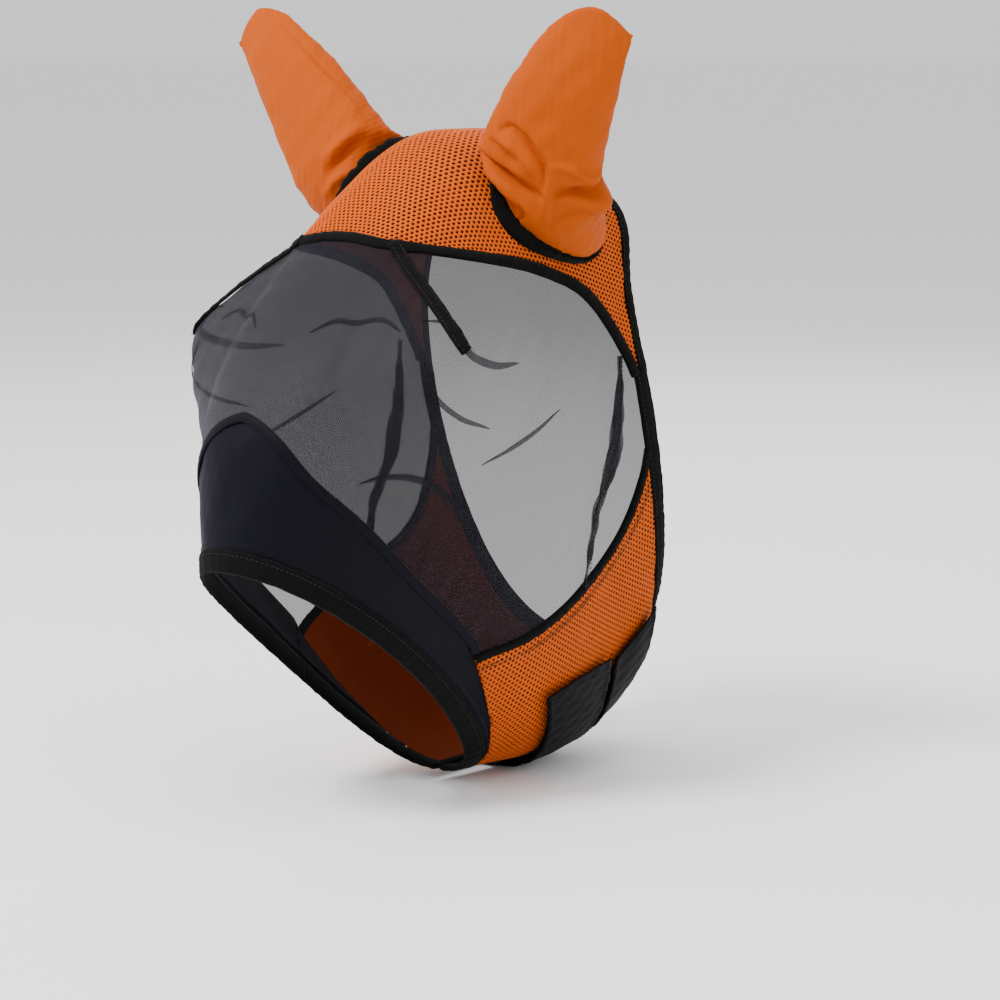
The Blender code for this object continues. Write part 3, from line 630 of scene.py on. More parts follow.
# ---------------------------------------------------------------- perforated spacer mesh
def flat_pattern(points):
    """Lays a grid of points out flat at true size, its long way level."""
    rows, columns = points.shape[:2]
    faces, _ = grid_faces(rows, columns)
    mesh = bpy.data.meshes.new("pattern")
    mesh.from_pydata(points.reshape(-1, 3).tolist(), [], [tuple(map(int, f)) for f in faces])
    mesh.uv_layers.new(name="flat")
    blank = bpy.data.objects.new("pattern", mesh)
    bpy.context.scene.collection.objects.link(blank)
    bpy.context.view_layer.objects.active = blank
    blank.select_set(True)
    bpy.ops.object.mode_set(mode="EDIT")
    bpy.ops.mesh.select_all(action="SELECT")
    bpy.ops.uv.unwrap(method="ANGLE_BASED", margin=0.0)
    bpy.ops.object.mode_set(mode="OBJECT")
    loops = np.empty(len(mesh.loops), np.int64)
    mesh.loops.foreach_get("vertex_index", loops)
    uv = np.empty(len(mesh.loops) * 2, np.float32)
    mesh.uv_layers["flat"].data.foreach_get("uv", uv)
    flat = np.zeros((rows * columns, 2))
    flat[loops] = uv.reshape(-1, 2)
    bpy.data.objects.remove(blank, do_unlink=True)
    bpy.data.meshes.remove(mesh)
    quads = np.array(faces)
    corner = flat[quads]
    turned = corner[:, 2] - corner[:, 0], corner[:, 3] - corner[:, 1]
    flat_area = 0.5 * np.abs(turned[0][:, 0] * turned[1][:, 1] - turned[0][:, 1] * turned[1][:, 0]).sum()
    solid = points.reshape(-1, 3)[quads]
    crossed = np.cross(solid[:, 2] - solid[:, 0], solid[:, 3] - solid[:, 1])
    true_area = 0.5 * np.linalg.norm(crossed, axis=1).sum()
    flat = (flat - flat.mean(axis=0)) * math.sqrt(true_area / flat_area)
    _, way = np.linalg.eigh(np.cov(flat.T))
    return flat @ way[:, ::-1], quads, true_area


def perforated(name, grid, pitch, hole, height, thickness, keep=None):
    """A knitted face with staggered six-sided holes, shaped over a (u, v) grid of the form."""
    surface = form_point(grid[..., 0], grid[..., 1])
    normals = form_normal(grid[..., 0], grid[..., 1]).reshape(-1, 3)
    flat, quads, _ = flat_pattern(surface)
    corners = np.concatenate([quads[:, [0, 1, 2]], quads[:, [0, 2, 3]]])
    tree = BVHTree.FromPolygons([(x, y, 0.0) for x, y in flat], corners.tolist())
    low, high = flat.min(axis=0), flat.max(axis=0)
    rise = pitch * math.sqrt(3) / 2
    centres = [(i * pitch + (j % 2) * pitch / 2, j * rise)
               for j in range(int(low[1] / rise) - 1, int(high[1] / rise) + 2)
               for i in range(int(low[0] / pitch) - 1, int(high[0] / pitch) + 2)]
    near = [tree.find_nearest((x, y, 0.0)) for x, y in centres]
    centres = [c for c, hit in zip(centres, near) if hit[3] < pitch * 0.12]
    centres = np.array(centres)
    turn = np.radians(30 + 60 * np.arange(6))
    star = np.stack([np.cos(turn), np.sin(turn)], -1) * pitch / math.sqrt(3)
    outer = centres[:, None] + star
    inner = centres[:, None] + star * np.array(hole)
    spots, index = np.unique(np.round(outer.reshape(-1, 2), 6), axis=0, return_inverse=True)
    index = index.reshape(-1, 6)
    seats = np.concatenate([spots, inner.reshape(-1, 2)])
    first = len(spots) + np.arange(len(centres) * 6).reshape(-1, 6)
    param = grid.reshape(-1, 2)
    hits = [tree.find_nearest((x, y, 0.0)) for x, y in seats]
    touched = corners[[hit[2] for hit in hits]]
    at = np.array([hit[0][:2] for hit in hits])
    a, b, c = (flat[touched[:, k]] for k in range(3))
    area = (b[:, 0] - a[:, 0]) * (c[:, 1] - a[:, 1]) - (c[:, 0] - a[:, 0]) * (b[:, 1] - a[:, 1])
    wb = ((at[:, 0] - a[:, 0]) * (c[:, 1] - a[:, 1]) - (c[:, 0] - a[:, 0]) * (at[:, 1] - a[:, 1])) / area
    wc = ((b[:, 0] - a[:, 0]) * (at[:, 1] - a[:, 1]) - (at[:, 0] - a[:, 0]) * (b[:, 1] - a[:, 1])) / area
    weights = np.stack([1 - wb - wc, wb, wc], -1)[..., None]
    out = (normals[touched] * weights).sum(axis=1)
    out /= np.linalg.norm(out, axis=1, keepdims=True)
    place = (surface.reshape(-1, 3)[touched] * weights).sum(axis=1)
    spot_uv = (param[touched] * weights).sum(axis=1)
    lift = np.full(len(seats), height)
    lift[len(spots):] -= 0.00025
    lift += unevenness(place, 0.045, 11) * 0.0004
    points = place + out * lift[:, None]
    kept = np.ones(len(centres), bool)
    if keep is not None:
        kept = keep(spot_uv[first].mean(axis=1))
    faces = []
    for cell in np.nonzero(kept)[0]:
        for k in range(6):
            n = (k + 1) % 6
            faces.append((index[cell, k], index[cell, n], first[cell, n], first[cell, k]))
    faces = np.array(faces)
    used, again = np.unique(faces, return_inverse=True)
    faces = again.reshape(-1, 4)
    points, seats, out = points[used], seats[used], out[used]
    quad = points[faces]
    normal = np.cross(quad[:, 2] - quad[:, 0], quad[:, 3] - quad[:, 1])
    if (normal * out[faces].mean(axis=1)).sum() < 0:
        faces = faces[:, ::-1]
    piece = new_piece(name, points, faces, "spacer_mesh_face", seats[faces].reshape(-1, 2))
    return thicken(piece, thickness, offset=-1.0)


def spacer_panel(stem, grid, keep=None):
    """The perforated face of a padded panel and its backing, coloured darker as painted shade seen through
    the holes.
    """
    size = bpy.context.scene.fly_mask_sizes
    face = perforated(f"{stem}_mesh", grid, size.hole_pitch, (size.hole_width, size.hole_length),
                      0.0019, 0.0009, keep)
    surface = lifted(grid, 0.0002)
    # This backing carries the darker colour that serves as painted shade in the holes of the face.
    core = grid_piece(f"{stem}_backing", surface, "spacer_backing_painted_shade")
    if keep is not None:
        work = bmesh.new()
        work.from_mesh(core.data)
        middle = (grid[1:, 1:] + grid[:-1, :-1]) / 2
        gone = ~keep(middle.reshape(-1, 2))
        work.faces.ensure_lookup_table()
        bmesh.ops.delete(work, geom=[work.faces[i] for i in np.nonzero(gone)[0]], context="FACES")
        work.to_mesh(core.data)
        work.free()
    thicken(core, 0.0005)
    return face, core


def cut_size(piece):
    """(width, length) and area of the flat pattern of a closed thin sheet."""
    mesh = piece.data
    area = sum(face.area for face in mesh.polygons)
    uv = np.empty(len(mesh.loops) * 2, np.float32)
    mesh.uv_layers["cloth"].data.foreach_get("uv", uv)
    spread = np.ptp(uv.reshape(-1, 2), axis=0)
    return [float(round(x, 3)) for x in spread], area


def declare(piece):
    """Works out how large a piece of cloth was cut; the sizes are not kept and the piece is returned
    unchanged.
    """
    flat, area = cut_size(piece)
    return piece


def ride_all(body, *pieces):
    for piece in pieces:
        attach(piece, body)


def bend_at_fold(*pieces):
    """Bakes the placing of the pieces by the right jaw flap's fold into their meshes; nothing here makes them
    bend.
    """
    for piece in pieces:
        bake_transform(piece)


# ---------------------------------------------------------------- crown
def ring_line(side, outward=0.0, count=400):
    (u, v), (half_u, half_v) = EAR_RINGS[side]
    way = 1 if side == "left" else -1
    turn = np.linspace(0, 2 * np.pi, count + 1)
    line = np.stack([u + half_u * np.cos(turn), v + way * half_v * np.sin(turn)], -1)
    return shifted(line, -way * outward)


def outside_ears(at):
    kept = np.ones(len(at), bool)
    for (u, v), (half_u, half_v) in EAR_RINGS.values():
        kept &= ((at[:, 0] - u) / half_u) ** 2 + ((at[:, 1] - v) / half_v) ** 2 > 1.0
    return kept


def build_crown():
    front = clear_of_ends(full_line(BROW, -0.001), rear=REAR_WIDTH - 0.006)
    back = rear_line(CROWN_REAR_WIDTH / 2, CROWN_REAR_END + 0.010, -0.010 - CROWN_REAR_END)
    face, core = spacer_panel("crown", between(back, front, 220, 60), outside_ears)
    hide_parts("crown_panel")
    ride_all("mask", face, core)
    brow = tape("brow_tape", clear_of_ends(full_line(BROW), rear=REAR_WIDTH - 0.002), BROW_WIDTH, -0.0006,
                0.0032, seed=3)
    reach = CROWN_REAR_END + 0.01
    rear = tape("crown_rear_tape", rear_line(CROWN_REAR_WIDTH / 2, -reach, reach), CROWN_REAR_WIDTH,
                -0.0006, 0.0032, seed=4)
    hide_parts("brow_binding")
    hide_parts("crown_rear_binding")
    thread = stitch_row("brow_stitches", clear_of_ends(full_line(BROW, -BROW_WIDTH * 0.29), rear=REAR_WIDTH),
                        0.0030)
    second = stitch_row("crown_rear_stitches",
                        rear_line(CROWN_REAR_WIDTH * 0.8, -CROWN_REAR_END, CROWN_REAR_END), 0.0029)
    ride_all("mask", brow, rear, thread, second)
    declare(core)


# ---------------------------------------------------------------- rim bindings
def build_rim():
    left = tape("left_throat_tape", rear_line(REAR_WIDTH / 2, CROWN_REAR_END + 0.004, JAW_EDGE), REAR_WIDTH,
                -0.0006, 0.0032, seed=7)
    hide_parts("left_throat_binding")
    right = tape("right_throat_tape", rear_line(REAR_WIDTH / 2, SEAM_V + 0.02, -CROWN_REAR_END - 0.004),
                 REAR_WIDTH, -0.0006, 0.0032, seed=8)
    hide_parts("right_throat_binding")
    low_right = tape("right_lower_throat_tape", rear_line(REAR_WIDTH / 2, -JAW_EDGE, SEAM_V + 0.0195),
                     REAR_WIDTH, -0.0006, 0.0032, seed=9)
    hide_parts("right_lower_throat_binding")
    hem = tape("hem_tape", hem_line(HEM_WIDTH / 2, SEAM_V, JAW_EDGE), HEM_WIDTH, -0.0006, 0.0030, seed=10)
    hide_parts("nose_hem_binding")
    low_hem = tape("right_lower_hem_tape", hem_line(HEM_WIDTH / 2, -JAW_EDGE, SEAM_V - 0.0005), HEM_WIDTH,
                   -0.0006, 0.0030, seed=11)
    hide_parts("right_lower_hem_binding")
    inner_rear, inner_hem = REAR_WIDTH * 0.79, HEM_WIDTH * 0.79
    top, end = CROWN_REAR_END + 0.01, JAW_EDGE - 0.01
    rows = [stitch_row("left_throat_stitches", rear_line(inner_rear, top, end), 0.0029),
            stitch_row("right_throat_stitches", rear_line(inner_rear, SEAM_V + 0.025, -top), 0.0029),
            stitch_row("hem_stitches", hem_line(inner_hem, SEAM_V + 0.005, end), 0.0027)]
    lower = [stitch_row("right_lower_throat_stitches", rear_line(inner_rear, -end, SEAM_V + 0.015), 0.0029),
             stitch_row("right_lower_hem_stitches", hem_line(inner_hem, -end, SEAM_V - 0.006), 0.0027)]
    ride_all("mask", left, right, hem, *rows)
    bend_at_fold(low_right, low_hem, *lower)


# ---------------------------------------------------------------- cloth that has slack in it
def relax(piece, cut, pin, frames, cap, bending, pressure=0.0, collide=False):
    """Lets a sheet that was cut larger than its place settle into folds, moving no point past cap."""
    mesh = piece.data
    start = np.empty(len(mesh.vertices) * 3, np.float32)
    mesh.vertices.foreach_get("co", start)
    group = piece.vertex_groups.new(name="held")
    level = np.round(np.clip(pin, 0, 1) * 20).astype(int)
    for step in range(1, 21):
        chosen = np.nonzero(level == step)[0].tolist()
        if chosen:
            group.add(chosen, step / 20, "REPLACE")
    piece.shape_key_add(name="Basis")
    key = piece.shape_key_add(name="cut")
    key.data.foreach_set("co", np.asarray(cut, np.float32).reshape(-1))
    cloth = piece.modifiers.new("slack", "CLOTH")
    setting = cloth.settings
    setting.quality = 7
    setting.mass = 0.08
    setting.tension_stiffness = setting.compression_stiffness = 22
    setting.shear_stiffness = 6
    setting.bending_stiffness = bending
    setting.air_damping = 3
    setting.vertex_group_mass = "held"
    setting.pin_stiffness = 3
    setting.rest_shape_key = key
    setting.effector_weights.gravity = 0
    if pressure:
        setting.use_pressure = True
        setting.uniform_pressure_force = pressure
    cloth.collision_settings.use_collision = False
    cloth.collision_settings.use_self_collision = collide
    cloth.collision_settings.self_distance_min = 0.0014
    cloth.point_cache.frame_start, cloth.point_cache.frame_end = 1, frames
    scene = bpy.context.scene
    for step in range(1, frames + 1):
        scene.frame_set(step)
    shape = piece.evaluated_get(bpy.context.evaluated_depsgraph_get()).data
    end = np.empty_like(start)
    shape.vertices.foreach_get("co", end)
    start, end = start.reshape(-1, 3), end.reshape(-1, 3)
    move = end - start
    size = np.linalg.norm(move, axis=1, keepdims=True)
    end = start + move * np.minimum(1, cap / np.maximum(size, 1e-9))
    piece.modifiers.clear()
    piece.shape_key_clear()
    piece.vertex_groups.clear()
    mesh.vertices.foreach_set("co", end.reshape(-1).astype(np.float32))
    mesh.update()
    scene.frame_set(1)
    return piece


def distance_to_line(points, line):
    target = form_point(line[:, 0], line[:, 1])
    return np.linalg.norm(points[:, None] - target[None, ::4], axis=2).min(axis=1)


def build_eye_mesh():
    top = clear_of_ends(full_line(BROW, 0.001), rear=REAR_WIDTH - 0.006)
    cheek = clear_of_ends(shifted(CHEEK, 0.001), rear=REAR_WIDTH - 0.006)
    nose_edge = full_line(NOSE, -0.002)
    inner = np.abs(nose_edge[:, 1]) < 0.592
    bottom = np.concatenate([cheek[::-1], nose_edge[inner], mirrored(cheek)])
    grid = between(top, bottom, 230, 84)
    surface = lifted(grid, 0.0009)
    flat = surface.reshape(-1, 3)
    seeded = surface + form_normal(grid[..., 0], grid[..., 1]) * (
        unevenness(surface, 0.05, 21) * 0.0007)[..., None]
    edge = np.minimum.outer(np.minimum(np.arange(85), 84 - np.arange(85)) / 84,
                            np.minimum(np.arange(231), 230 - np.arange(231)) / 230 * 1.5)
    fade = np.clip(edge * 16, 0, 1)[..., None]
    seeded = surface * (1 - fade) + seeded * fade
    net = grid_piece("eye_net", seeded, "sheer_net")
    pin = 1 - np.clip(edge.reshape(-1) * 40, 0, 1)
    for line, reach in ((smooth_line(DART_TAPE_LINE), 0.006), (smooth_line(CHEEK_DART_LINE), 0.006)):
        for each in (line, mirrored(line)):
            pin = np.maximum(pin, (distance_to_line(flat, each) < reach).astype(float))
    centre = flat.mean(axis=0)
    relax(net, (flat - centre) * 1.028 + centre, pin, 26, 0.0075, 0.05)
    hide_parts("eye_mesh")
    layers = []
    for number, (few, width) in enumerate(TUCKS):
        for side, way in (("left", 1), ("right", -1)):
            layers.append(tuck(f"{side}_tuck_{number}", smooth_line(few) * np.array((1, way)), width * 1.5))
    ride_all("mask", net, *layers)
    declare(net)


def tuck(name, line, width):
    """A pinch of net: a second layer, slightly raised, that tapers to nothing at both ends."""
    count = max(12, round(run_length(form_point(line[:, 0], line[:, 1]))[-1] / 0.0015))
    middle = resampled(line, count)
    share = np.linspace(0, 1, count + 1)
    half = width / 2 * np.sin(np.pi * share) ** 0.6 + 0.0001
    ring = []
    for aside, height in ((-1, 0.0012), (-0.4, 0.0022), (0.4, 0.0022), (1, 0.0012)):
        ring.append(lifted(shifted(middle, half * aside), height * (0.55 + 0.45 * np.sin(np.pi * share))))
    return grid_piece(name, np.stack(ring, 1), "sheer_net")


# ---------------------------------------------------------------- nose
def nose_relief(surface):
    """Slight drag lines of stretched cloth, and the raised fold just inside the hem."""
    draw = 0.0005 * unevenness(surface, 0.09, 31) + 0.00018 * unevenness(surface, 0.02, 32)
    edge = form_point(1.0, np.linspace(-1, 1, 700))
    flat = surface.reshape(-1, 3)
    away = np.linalg.norm(flat[:, None] - edge[None, ::2], axis=2).min(axis=1).reshape(surface.shape[:2])
    fold = np.exp(-((away - (HEM_WIDTH + 0.0030)) / 0.0013) ** 2) * 0.0009
    valley = -np.exp(-((away - (HEM_WIDTH + 0.0062)) / 0.0014) ** 2) * 0.0003
    return draw + fold + valley


def build_nose():
    front = np.linspace(JAW_FRONT[0], JAW_FRONT[1], 120)
    seam = full_line(np.concatenate([NOSE[NOSE[:, 1] < 0.595], front]), 0.0)
    seam = clear_of_ends(seam, hem=HEM_WIDTH + 0.001)
    hem = hem_line(HEM_WIDTH - 0.002, seam[0, 1], seam[-1, 1], 600)
    seam = resampled(seam, 1600)
    split = {"nose_cloth": seam[:, 1] > SEAM_V - 0.004, "nose_tail": seam[:, 1] <= SEAM_V + 0.004}
    made = []
    for name, kept in split.items():
        part = seam[kept]
        low = hem[(hem[:, 1] <= part[0, 1] + 1e-9) & (hem[:, 1] >= part[-1, 1] - 1e-9)]
        columns = 200 if name == "nose_cloth" else 24
        grid = between(part, low, columns, 46)
        surface = form_point(grid[..., 0], grid[..., 1])
        relief = 0.0006 + nose_relief(surface)
        made.append(grid_piece(name, lifted(grid, relief), "nose_lycra", thickness=0.0009))
    cloth, tail = made
    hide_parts("nose_panel")
    piping = tape("nose_seam", shifted(seam[np.abs(seam[:, 1]) < 0.60], 0.0), 0.0066, 0.0006, 0.0023, seed=35,
                  finish_name="nose_lycra", pucker=0.05)
    thread = stitch_row("nose_stitches", shifted(seam[np.abs(seam[:, 1]) < 0.60], -0.0034), 0.0017)
    ride_all("mask", cloth, piping, thread)
    bend_at_fold(tail)
    declare(cloth)
    declare(tail)


# ---------------------------------------------------------------- jaw
def build_jaw():
    top = behind_jaw_front(shifted(CHEEK, -0.001), margin=0.001)
    low = behind_jaw_front(along_jaw(JAW_EDGE - 0.004), margin=0.001)[::-1]
    tape_run = clear_of_ends(behind_jaw_front(CHEEK, margin=0.0), rear=REAR_WIDTH - 0.003)
    inside = behind_jaw_front(shifted(CHEEK, -0.0095), margin=0.004)
    closing = clear_of_ends(along_jaw(JAW_EDGE), rear=REAR_WIDTH - 0.003, hem=HEM_WIDTH - 0.003)
    middle = shifted(closing, -CLOSING_WIDTH / 2)
    for side in ("left", "right"):
        runs = (top, low) if side == "left" else (mirrored(low), mirrored(top))
        grid = between(*runs, 130, 60)
        face, core = spacer_panel(f"{side}_jaw", grid)
        flip = 1 if side == "left" else -1
        cheek = tape(f"{side}_cheek_tape", tape_run * np.array((1, flip)), CHEEK_WIDTH, -0.0006, 0.0033,
                     seed=41)
        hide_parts(f"{side}_cheek_binding")
        rows = [stitch_row(f"{side}_jaw_stitches_{n}", shifted(inside, -gap) * np.array((1, flip)), 0.0021,
                           "seam_thread", pitch=0.0031, thick=0.00034, seed=50 + n)
                for n, gap in enumerate((0.0, 0.0022))]
        edge = tape(f"{side}_closing_tape", middle * np.array((1, flip)), CLOSING_WIDTH, -0.0006, 0.0032,
                    seed=43)
        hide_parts(f"{side}_closing_edge")
        ride_all("mask", cheek, *rows)
        if side == "left":
            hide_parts("left_jaw_panel")
            ride_all("mask", face, core, edge)
        else:
            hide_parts("right_jaw_panel", "right_jaw_flap")
            bend_at_fold(face, core)
            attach(edge, "jaw_flap")
        declare(core)


# ---------------------------------------------------------------- darts
def frayed_ends(name, line, width, height, finish_name, seed):
    """Loose threads at both cut ends of a tape."""
    draw = np.random.default_rng(seed)
    points, faces = [], []
    for end, inward in ((line[0], line[6] - line[0]), (line[-1], line[-7] - line[-1])):
        base = lifted(end[None], height)[0]
        back = lifted((end + inward)[None], height)[0]
        ahead = (base - back) / np.linalg.norm(base - back)
        up = form_normal(end[0], end[1])
        side = np.cross(up, ahead)
        for _ in range(11):
            root = base + side * draw.uniform(-0.48, 0.48) * width - ahead * 0.001
            way = ahead + side * draw.normal(0, 0.35) + up * draw.uniform(-0.05, 0.4)
            tip = root + way * draw.uniform(0.0016, 0.0042)
            start = len(points)
            for centre, thick in ((root, 0.00022), ((root + tip) / 2 + up * 0.0003, 0.0002), (tip, 0.0001)):
                for angle in (0, 2.1, 4.2):
                    points.append(centre + thick * (math.cos(angle) * side + math.sin(angle) * up))
            for ring in (0, 3):
                for k in range(3):
                    a, b = start + ring + k, start + ring + (k + 1) % 3
                    faces.append((a, b, b + 3, a + 3))
            faces += [(start + 2, start + 1, start), (start + 6, start + 7, start + 8)]
    return facing_out(new_piece(name, np.array(points), faces, finish_name))


def pleat(name, line, layer, seed):
    """One leaf-shaped layer of the cheek dart, its edge slightly ruffled."""
    count = 90
    middle = resampled(line, count)
    share = np.linspace(0, 1, count + 1)
    wide = np.interp(share, (0, 0.12, 0.30, 0.42, 0.52, 0.60, 0.72, 0.85, 1.0),
                     (0.0006, 0.0042, 0.0062, 0.0080, 0.0070, 0.0034, 0.0040, 0.0030, 0.0006))
    columns = np.linspace(-1, 1, 13)
    ruffle = np.sin(share[:, None] * (38 + 7 * seed) + columns[None] * 1.5) * 0.0006
    rows = []
    for k, aside in enumerate(columns):
        half = wide * (1 + 0.10 * np.sin(share * 31 + seed)) * 0.95
        height = 0.0024 + 0.0009 * layer + np.abs(aside) ** 2 * ruffle[:, k] + 0.0004
        rows.append(lifted(shifted(middle, half * aside + 0.0009 * np.sin(share * 17 + layer)), height))
    return grid_piece(name, np.stack(rows, 1), "sheer_net")


def build_darts():
    for side, way in (("left", 1), ("right", -1)):
        mirror = np.array((1, way))
        line = smooth_line(DART_TAPE_LINE) * mirror
        band = tape(f"{side}_dart_band", line, DART_WIDTH, 0.0016, 0.0042, seed=60, pucker=0.16)
        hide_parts(f"{side}_dart_tape")
        ends = frayed_ends(f"{side}_dart_threads", line, DART_WIDTH, 0.0030, "black_thread", 61)
        rows = [stitch_row(f"{side}_dart_stitches_{n}", shifted(line, off), 0.0038, seed=62)
                for n, off in enumerate((-0.0027, 0.0027))]
        leaf = smooth_line(CHEEK_DART_LINE) * mirror
        layers = [pleat(f"{side}_pleat_{n}", leaf, n, n) for n in range(3)]
        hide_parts(f"{side}_cheek_dart")
        seam = stitch_row(f"{side}_pleat_stitches", shifted(leaf, 0.0012 * way), 0.0052, seed=64, pitch=0.003)
        ride_all("mask", band, ends, *rows, *layers, seam)
        declare(layers[0])


# ---------------------------------------------------------------- ears
def ear_matrix(side):
    place, tilt = EAR_FRAMES[side]
    turn = Euler([math.radians(a) for a in tilt], "XYZ").to_matrix()
    return np.array(place), np.array(turn)


def ear_to_world(side, local):
    """Points given as (across towards the outer edge, back, up) in an ear cover's own frame."""
    place, turn = ear_matrix(side)
    flip = np.array((1 if side == "left" else -1, 1, 1))
    return (local * flip) @ turn.T + place


def ear_outline(across, up):
    def along(side_points, share):
        points = np.array(side_points)
        return smooth_rows(np.linspace(0, 1, len(points)), points, share)

    inner, outer = along(EAR_INNER_SIDE, up), along(EAR_OUTER_SIDE, up)
    flat = inner * (1 - across)[..., None] + outer * across[..., None]
    top = np.array(EAR_TOP)
    edge = smooth_rows(EAR_TOP_KEYS, top, across)
    straight = top[0] * (1 - across)[..., None] + top[-1] * across[..., None]
    return flat + (edge - straight) * (up**2)[..., None]


EAR_ROUND = 192
EAR_FOLD_ROWS = 64
EAR_SLEEVE_ROWS = 84
FOLD_STEPS = 40
FOLD_RUN = (0.02, 1.0)           # how degrees of turn and rows count along a fold
# Folds at the base of an ear cover: (turn in degrees from the front, row from the ring 0 to the sleeve 1),
# height (negative for a valley) and width in metres.
EAR_FOLDS = {
    "left": [
        ([(-44, 1.34), (-36, 1.38), (-20, 1.36), (-2, 1.28), (14, 1.12), (18, 0.93)], -0.0052, 0.0023),
        ([(-40, 1.26), (-20, 1.24), (-4, 1.16), (8, 1.04)], 0.0034, 0.0044),
        ([(-52, 1.20), (-34, 1.18), (-18, 1.12)], -0.0044, 0.0023),
        ([(-70, 0.86), (-50, 0.90), (-26, 0.90), (-6, 0.86), (16, 0.80)], -0.0092, 0.0032),
        ([(-80, 0.58), (-56, 0.62), (-32, 0.62), (-10, 0.50), (6, 0.46)], 0.0056, 0.0050),
        ([(18, 1.14), (21, 0.86), (28, 0.58)], 0.0042, 0.0030),
        ([(30, 0.92), (46, 0.98), (74, 0.97), (94, 1.02)], -0.0086, 0.0030),
        ([(18, 1.20), (34, 1.22), (70, 1.12), (88, 1.16)], 0.0034, 0.0036),
        ([(34, 0.60), (54, 0.74), (84, 0.70), (104, 0.76)], -0.0034, 0.0030),
        ([(64, 0.76), (84, 0.82), (102, 0.76)], 0.0130, 0.0120),
        ([(9, 0.10), (7, 0.30), (3, 0.42)], -0.0034, 0.0022),
        ([(130, 0.62), (168, 0.52), (205, 0.60), (232, 0.74)], -0.0046, 0.0040),
        ([(150, 0.98), (182, 0.88), (216, 0.98)], 0.0034, 0.0050),
    ],
    "right": [
        ([(-24, 1.90), (-44, 1.75), (-62, 1.57), (-78, 1.38), (-86, 1.08)], -0.0020, 0.0015),
        ([(-54, 0.65), (-30, 0.60), (-10, 0.57)], -0.0050, 0.0040),
        ([(-60, 0.90), (-36, 0.84), (-14, 0.80)], 0.0030, 0.0050),
        ([(-36, 0.22), (-18, 0.37), (10, 0.43)], 0.0036, 0.0040),
        ([(80, 0.90), (96, 0.72), (112, 0.70)], -0.0040, 0.0034),
        ([(130, 0.62), (168, 0.52), (205, 0.60), (232, 0.74)], -0.0046, 0.0040),
        ([(150, 0.98), (182, 0.88), (216, 0.98)], 0.0034, 0.0050),
    ],
}
# Where a ring stands up off the crown: the turn it is highest at, the half width in degrees and the growth.
RING_RISE = {"left": (58.0, 55.0, 1.8), "right": (-42.0, 70.0, 2.0)}
EAR_FOOT = 0.905
EAR_TOP = [(-0.035, 0.117), (-0.0262, 0.1380), (-0.0050, 0.1592), (0.0115, 0.1580), (0.028, 0.1500)]
EAR_TOP_KEYS = np.array((0.0, 0.2, 0.52, 0.78, 1.0))


def ear_surface(side, turn, row):
    """Points of an ear cover: row 0 to 1 is the slack base from the ring up, row 1 to 2 is the sleeve."""
    way = 1 if side == "left" else -1
    (u, v), (half_u, half_v) = EAR_RINGS[side]
    at = np.stack([u + half_u * EAR_FOOT * np.cos(turn), v + way * half_v * EAR_FOOT * np.sin(turn)], -1)
    foot = lifted(at, 0.0012)
    normal = form_normal(at[..., 0], at[..., 1])
    middle = form_point(u, v)
    outward = foot - middle
    outward -= np.sum(outward * normal, -1, keepdims=True) * normal
    outward /= np.linalg.norm(outward, axis=-1, keepdims=True)
    across = 0.5 + 0.5 * np.sin(turn)

    def sleeve(up):
        flat = ear_outline(across, up)
        depth = EAR_TOP_DEPTH * (1 - up) + 0.0010 + (EAR_BASE_DEPTH - EAR_TOP_DEPTH) * (1 - up) ** 0.8
        shape = np.cos(turn)
        full = np.sign(shape) * np.abs(shape) ** 0.75
        edge = np.clip((across - 0.80) / 0.20, 0, 1)
        full = np.where(shape > 0, full * (1 - edge**2 * 0.25), full)
        bow = 0.005 * np.sin(np.pi * np.clip(up, 0, 1)) * np.clip(shape, 0, 1)
        return ear_to_world(side, np.stack([flat[..., 0], -full * depth - bow, flat[..., 1]], -1))

    share = np.clip(row, 0, 1)[..., None]
    low = sleeve(np.zeros_like(turn))
    rise = (sleeve(np.full_like(turn, 0.03)) - low) * 22
    side_on = np.sin(turn)[..., None]
    flare = 0.016 + 0.062 * np.clip(side_on, 0, 1) + (0.020 if way > 0 else 0.0) * np.clip(-side_on, 0, 1)
    leave = outward * flare + normal * 0.044
    slack = ((2 * share**3 - 3 * share**2 + 1) * foot + (share**3 - 2 * share**2 + share) * leave
             + (3 * share**2 - 2 * share**3) * low + (share**3 - share**2) * rise)
    up = np.clip(row - 1, 0, 1)
    return np.where((row <= 1)[..., None], slack, sleeve(up))


def raise_ring(band, side):
    """Thicken a ring's binding where the ear's base pushes it up off the crown."""
    line = ring_line(side)[:-1]
    (u, v), (half_u, half_v) = EAR_RINGS[side]
    way = 1 if side == "left" else -1
    turn = np.degrees(np.arctan2(way * (line[:, 1] - v) / half_v, (line[:, 0] - u) / half_u))
    middle, reach, gain = RING_RISE[side]
    grown = gain * np.exp(-(((turn - middle + 180) % 360 - 180) / reach) ** 2)
    base, normal = lifted(line), form_normal(line[:, 0], line[:, 1])
    for vertex in band.data.vertices:
        point = np.array(vertex.co)
        near = np.argmin(np.linalg.norm(base - point, axis=1))
        height = np.dot(point - base[near], normal[near])
        vertex.co = point + normal[near] * max(height, 0) * grown[near]


def fold_depth(side, points):
    """How far each point of an ear cover is pressed in or out by the folds at its base."""
    push = np.zeros(points.shape[:2])
    flat = points.reshape(-1, 3)
    for few, height, width in EAR_FOLDS[side]:
        path = np.array(few, float)
        run = run_length(path * FOLD_RUN)
        path = smooth_rows(run, path, np.linspace(0, run[-1], FOLD_STEPS))
        crest = ear_surface(side, np.radians(path[:, 0]), path[:, 1])
        fade = 0.25 + 0.75 * np.sin(np.pi * np.linspace(0.04, 0.96, FOLD_STEPS))
        apart = np.linalg.norm(flat[:, None] - crest[None], axis=2) / width
        push += (np.exp(-apart**2) * fade).max(axis=1).reshape(push.shape) * height
    return push


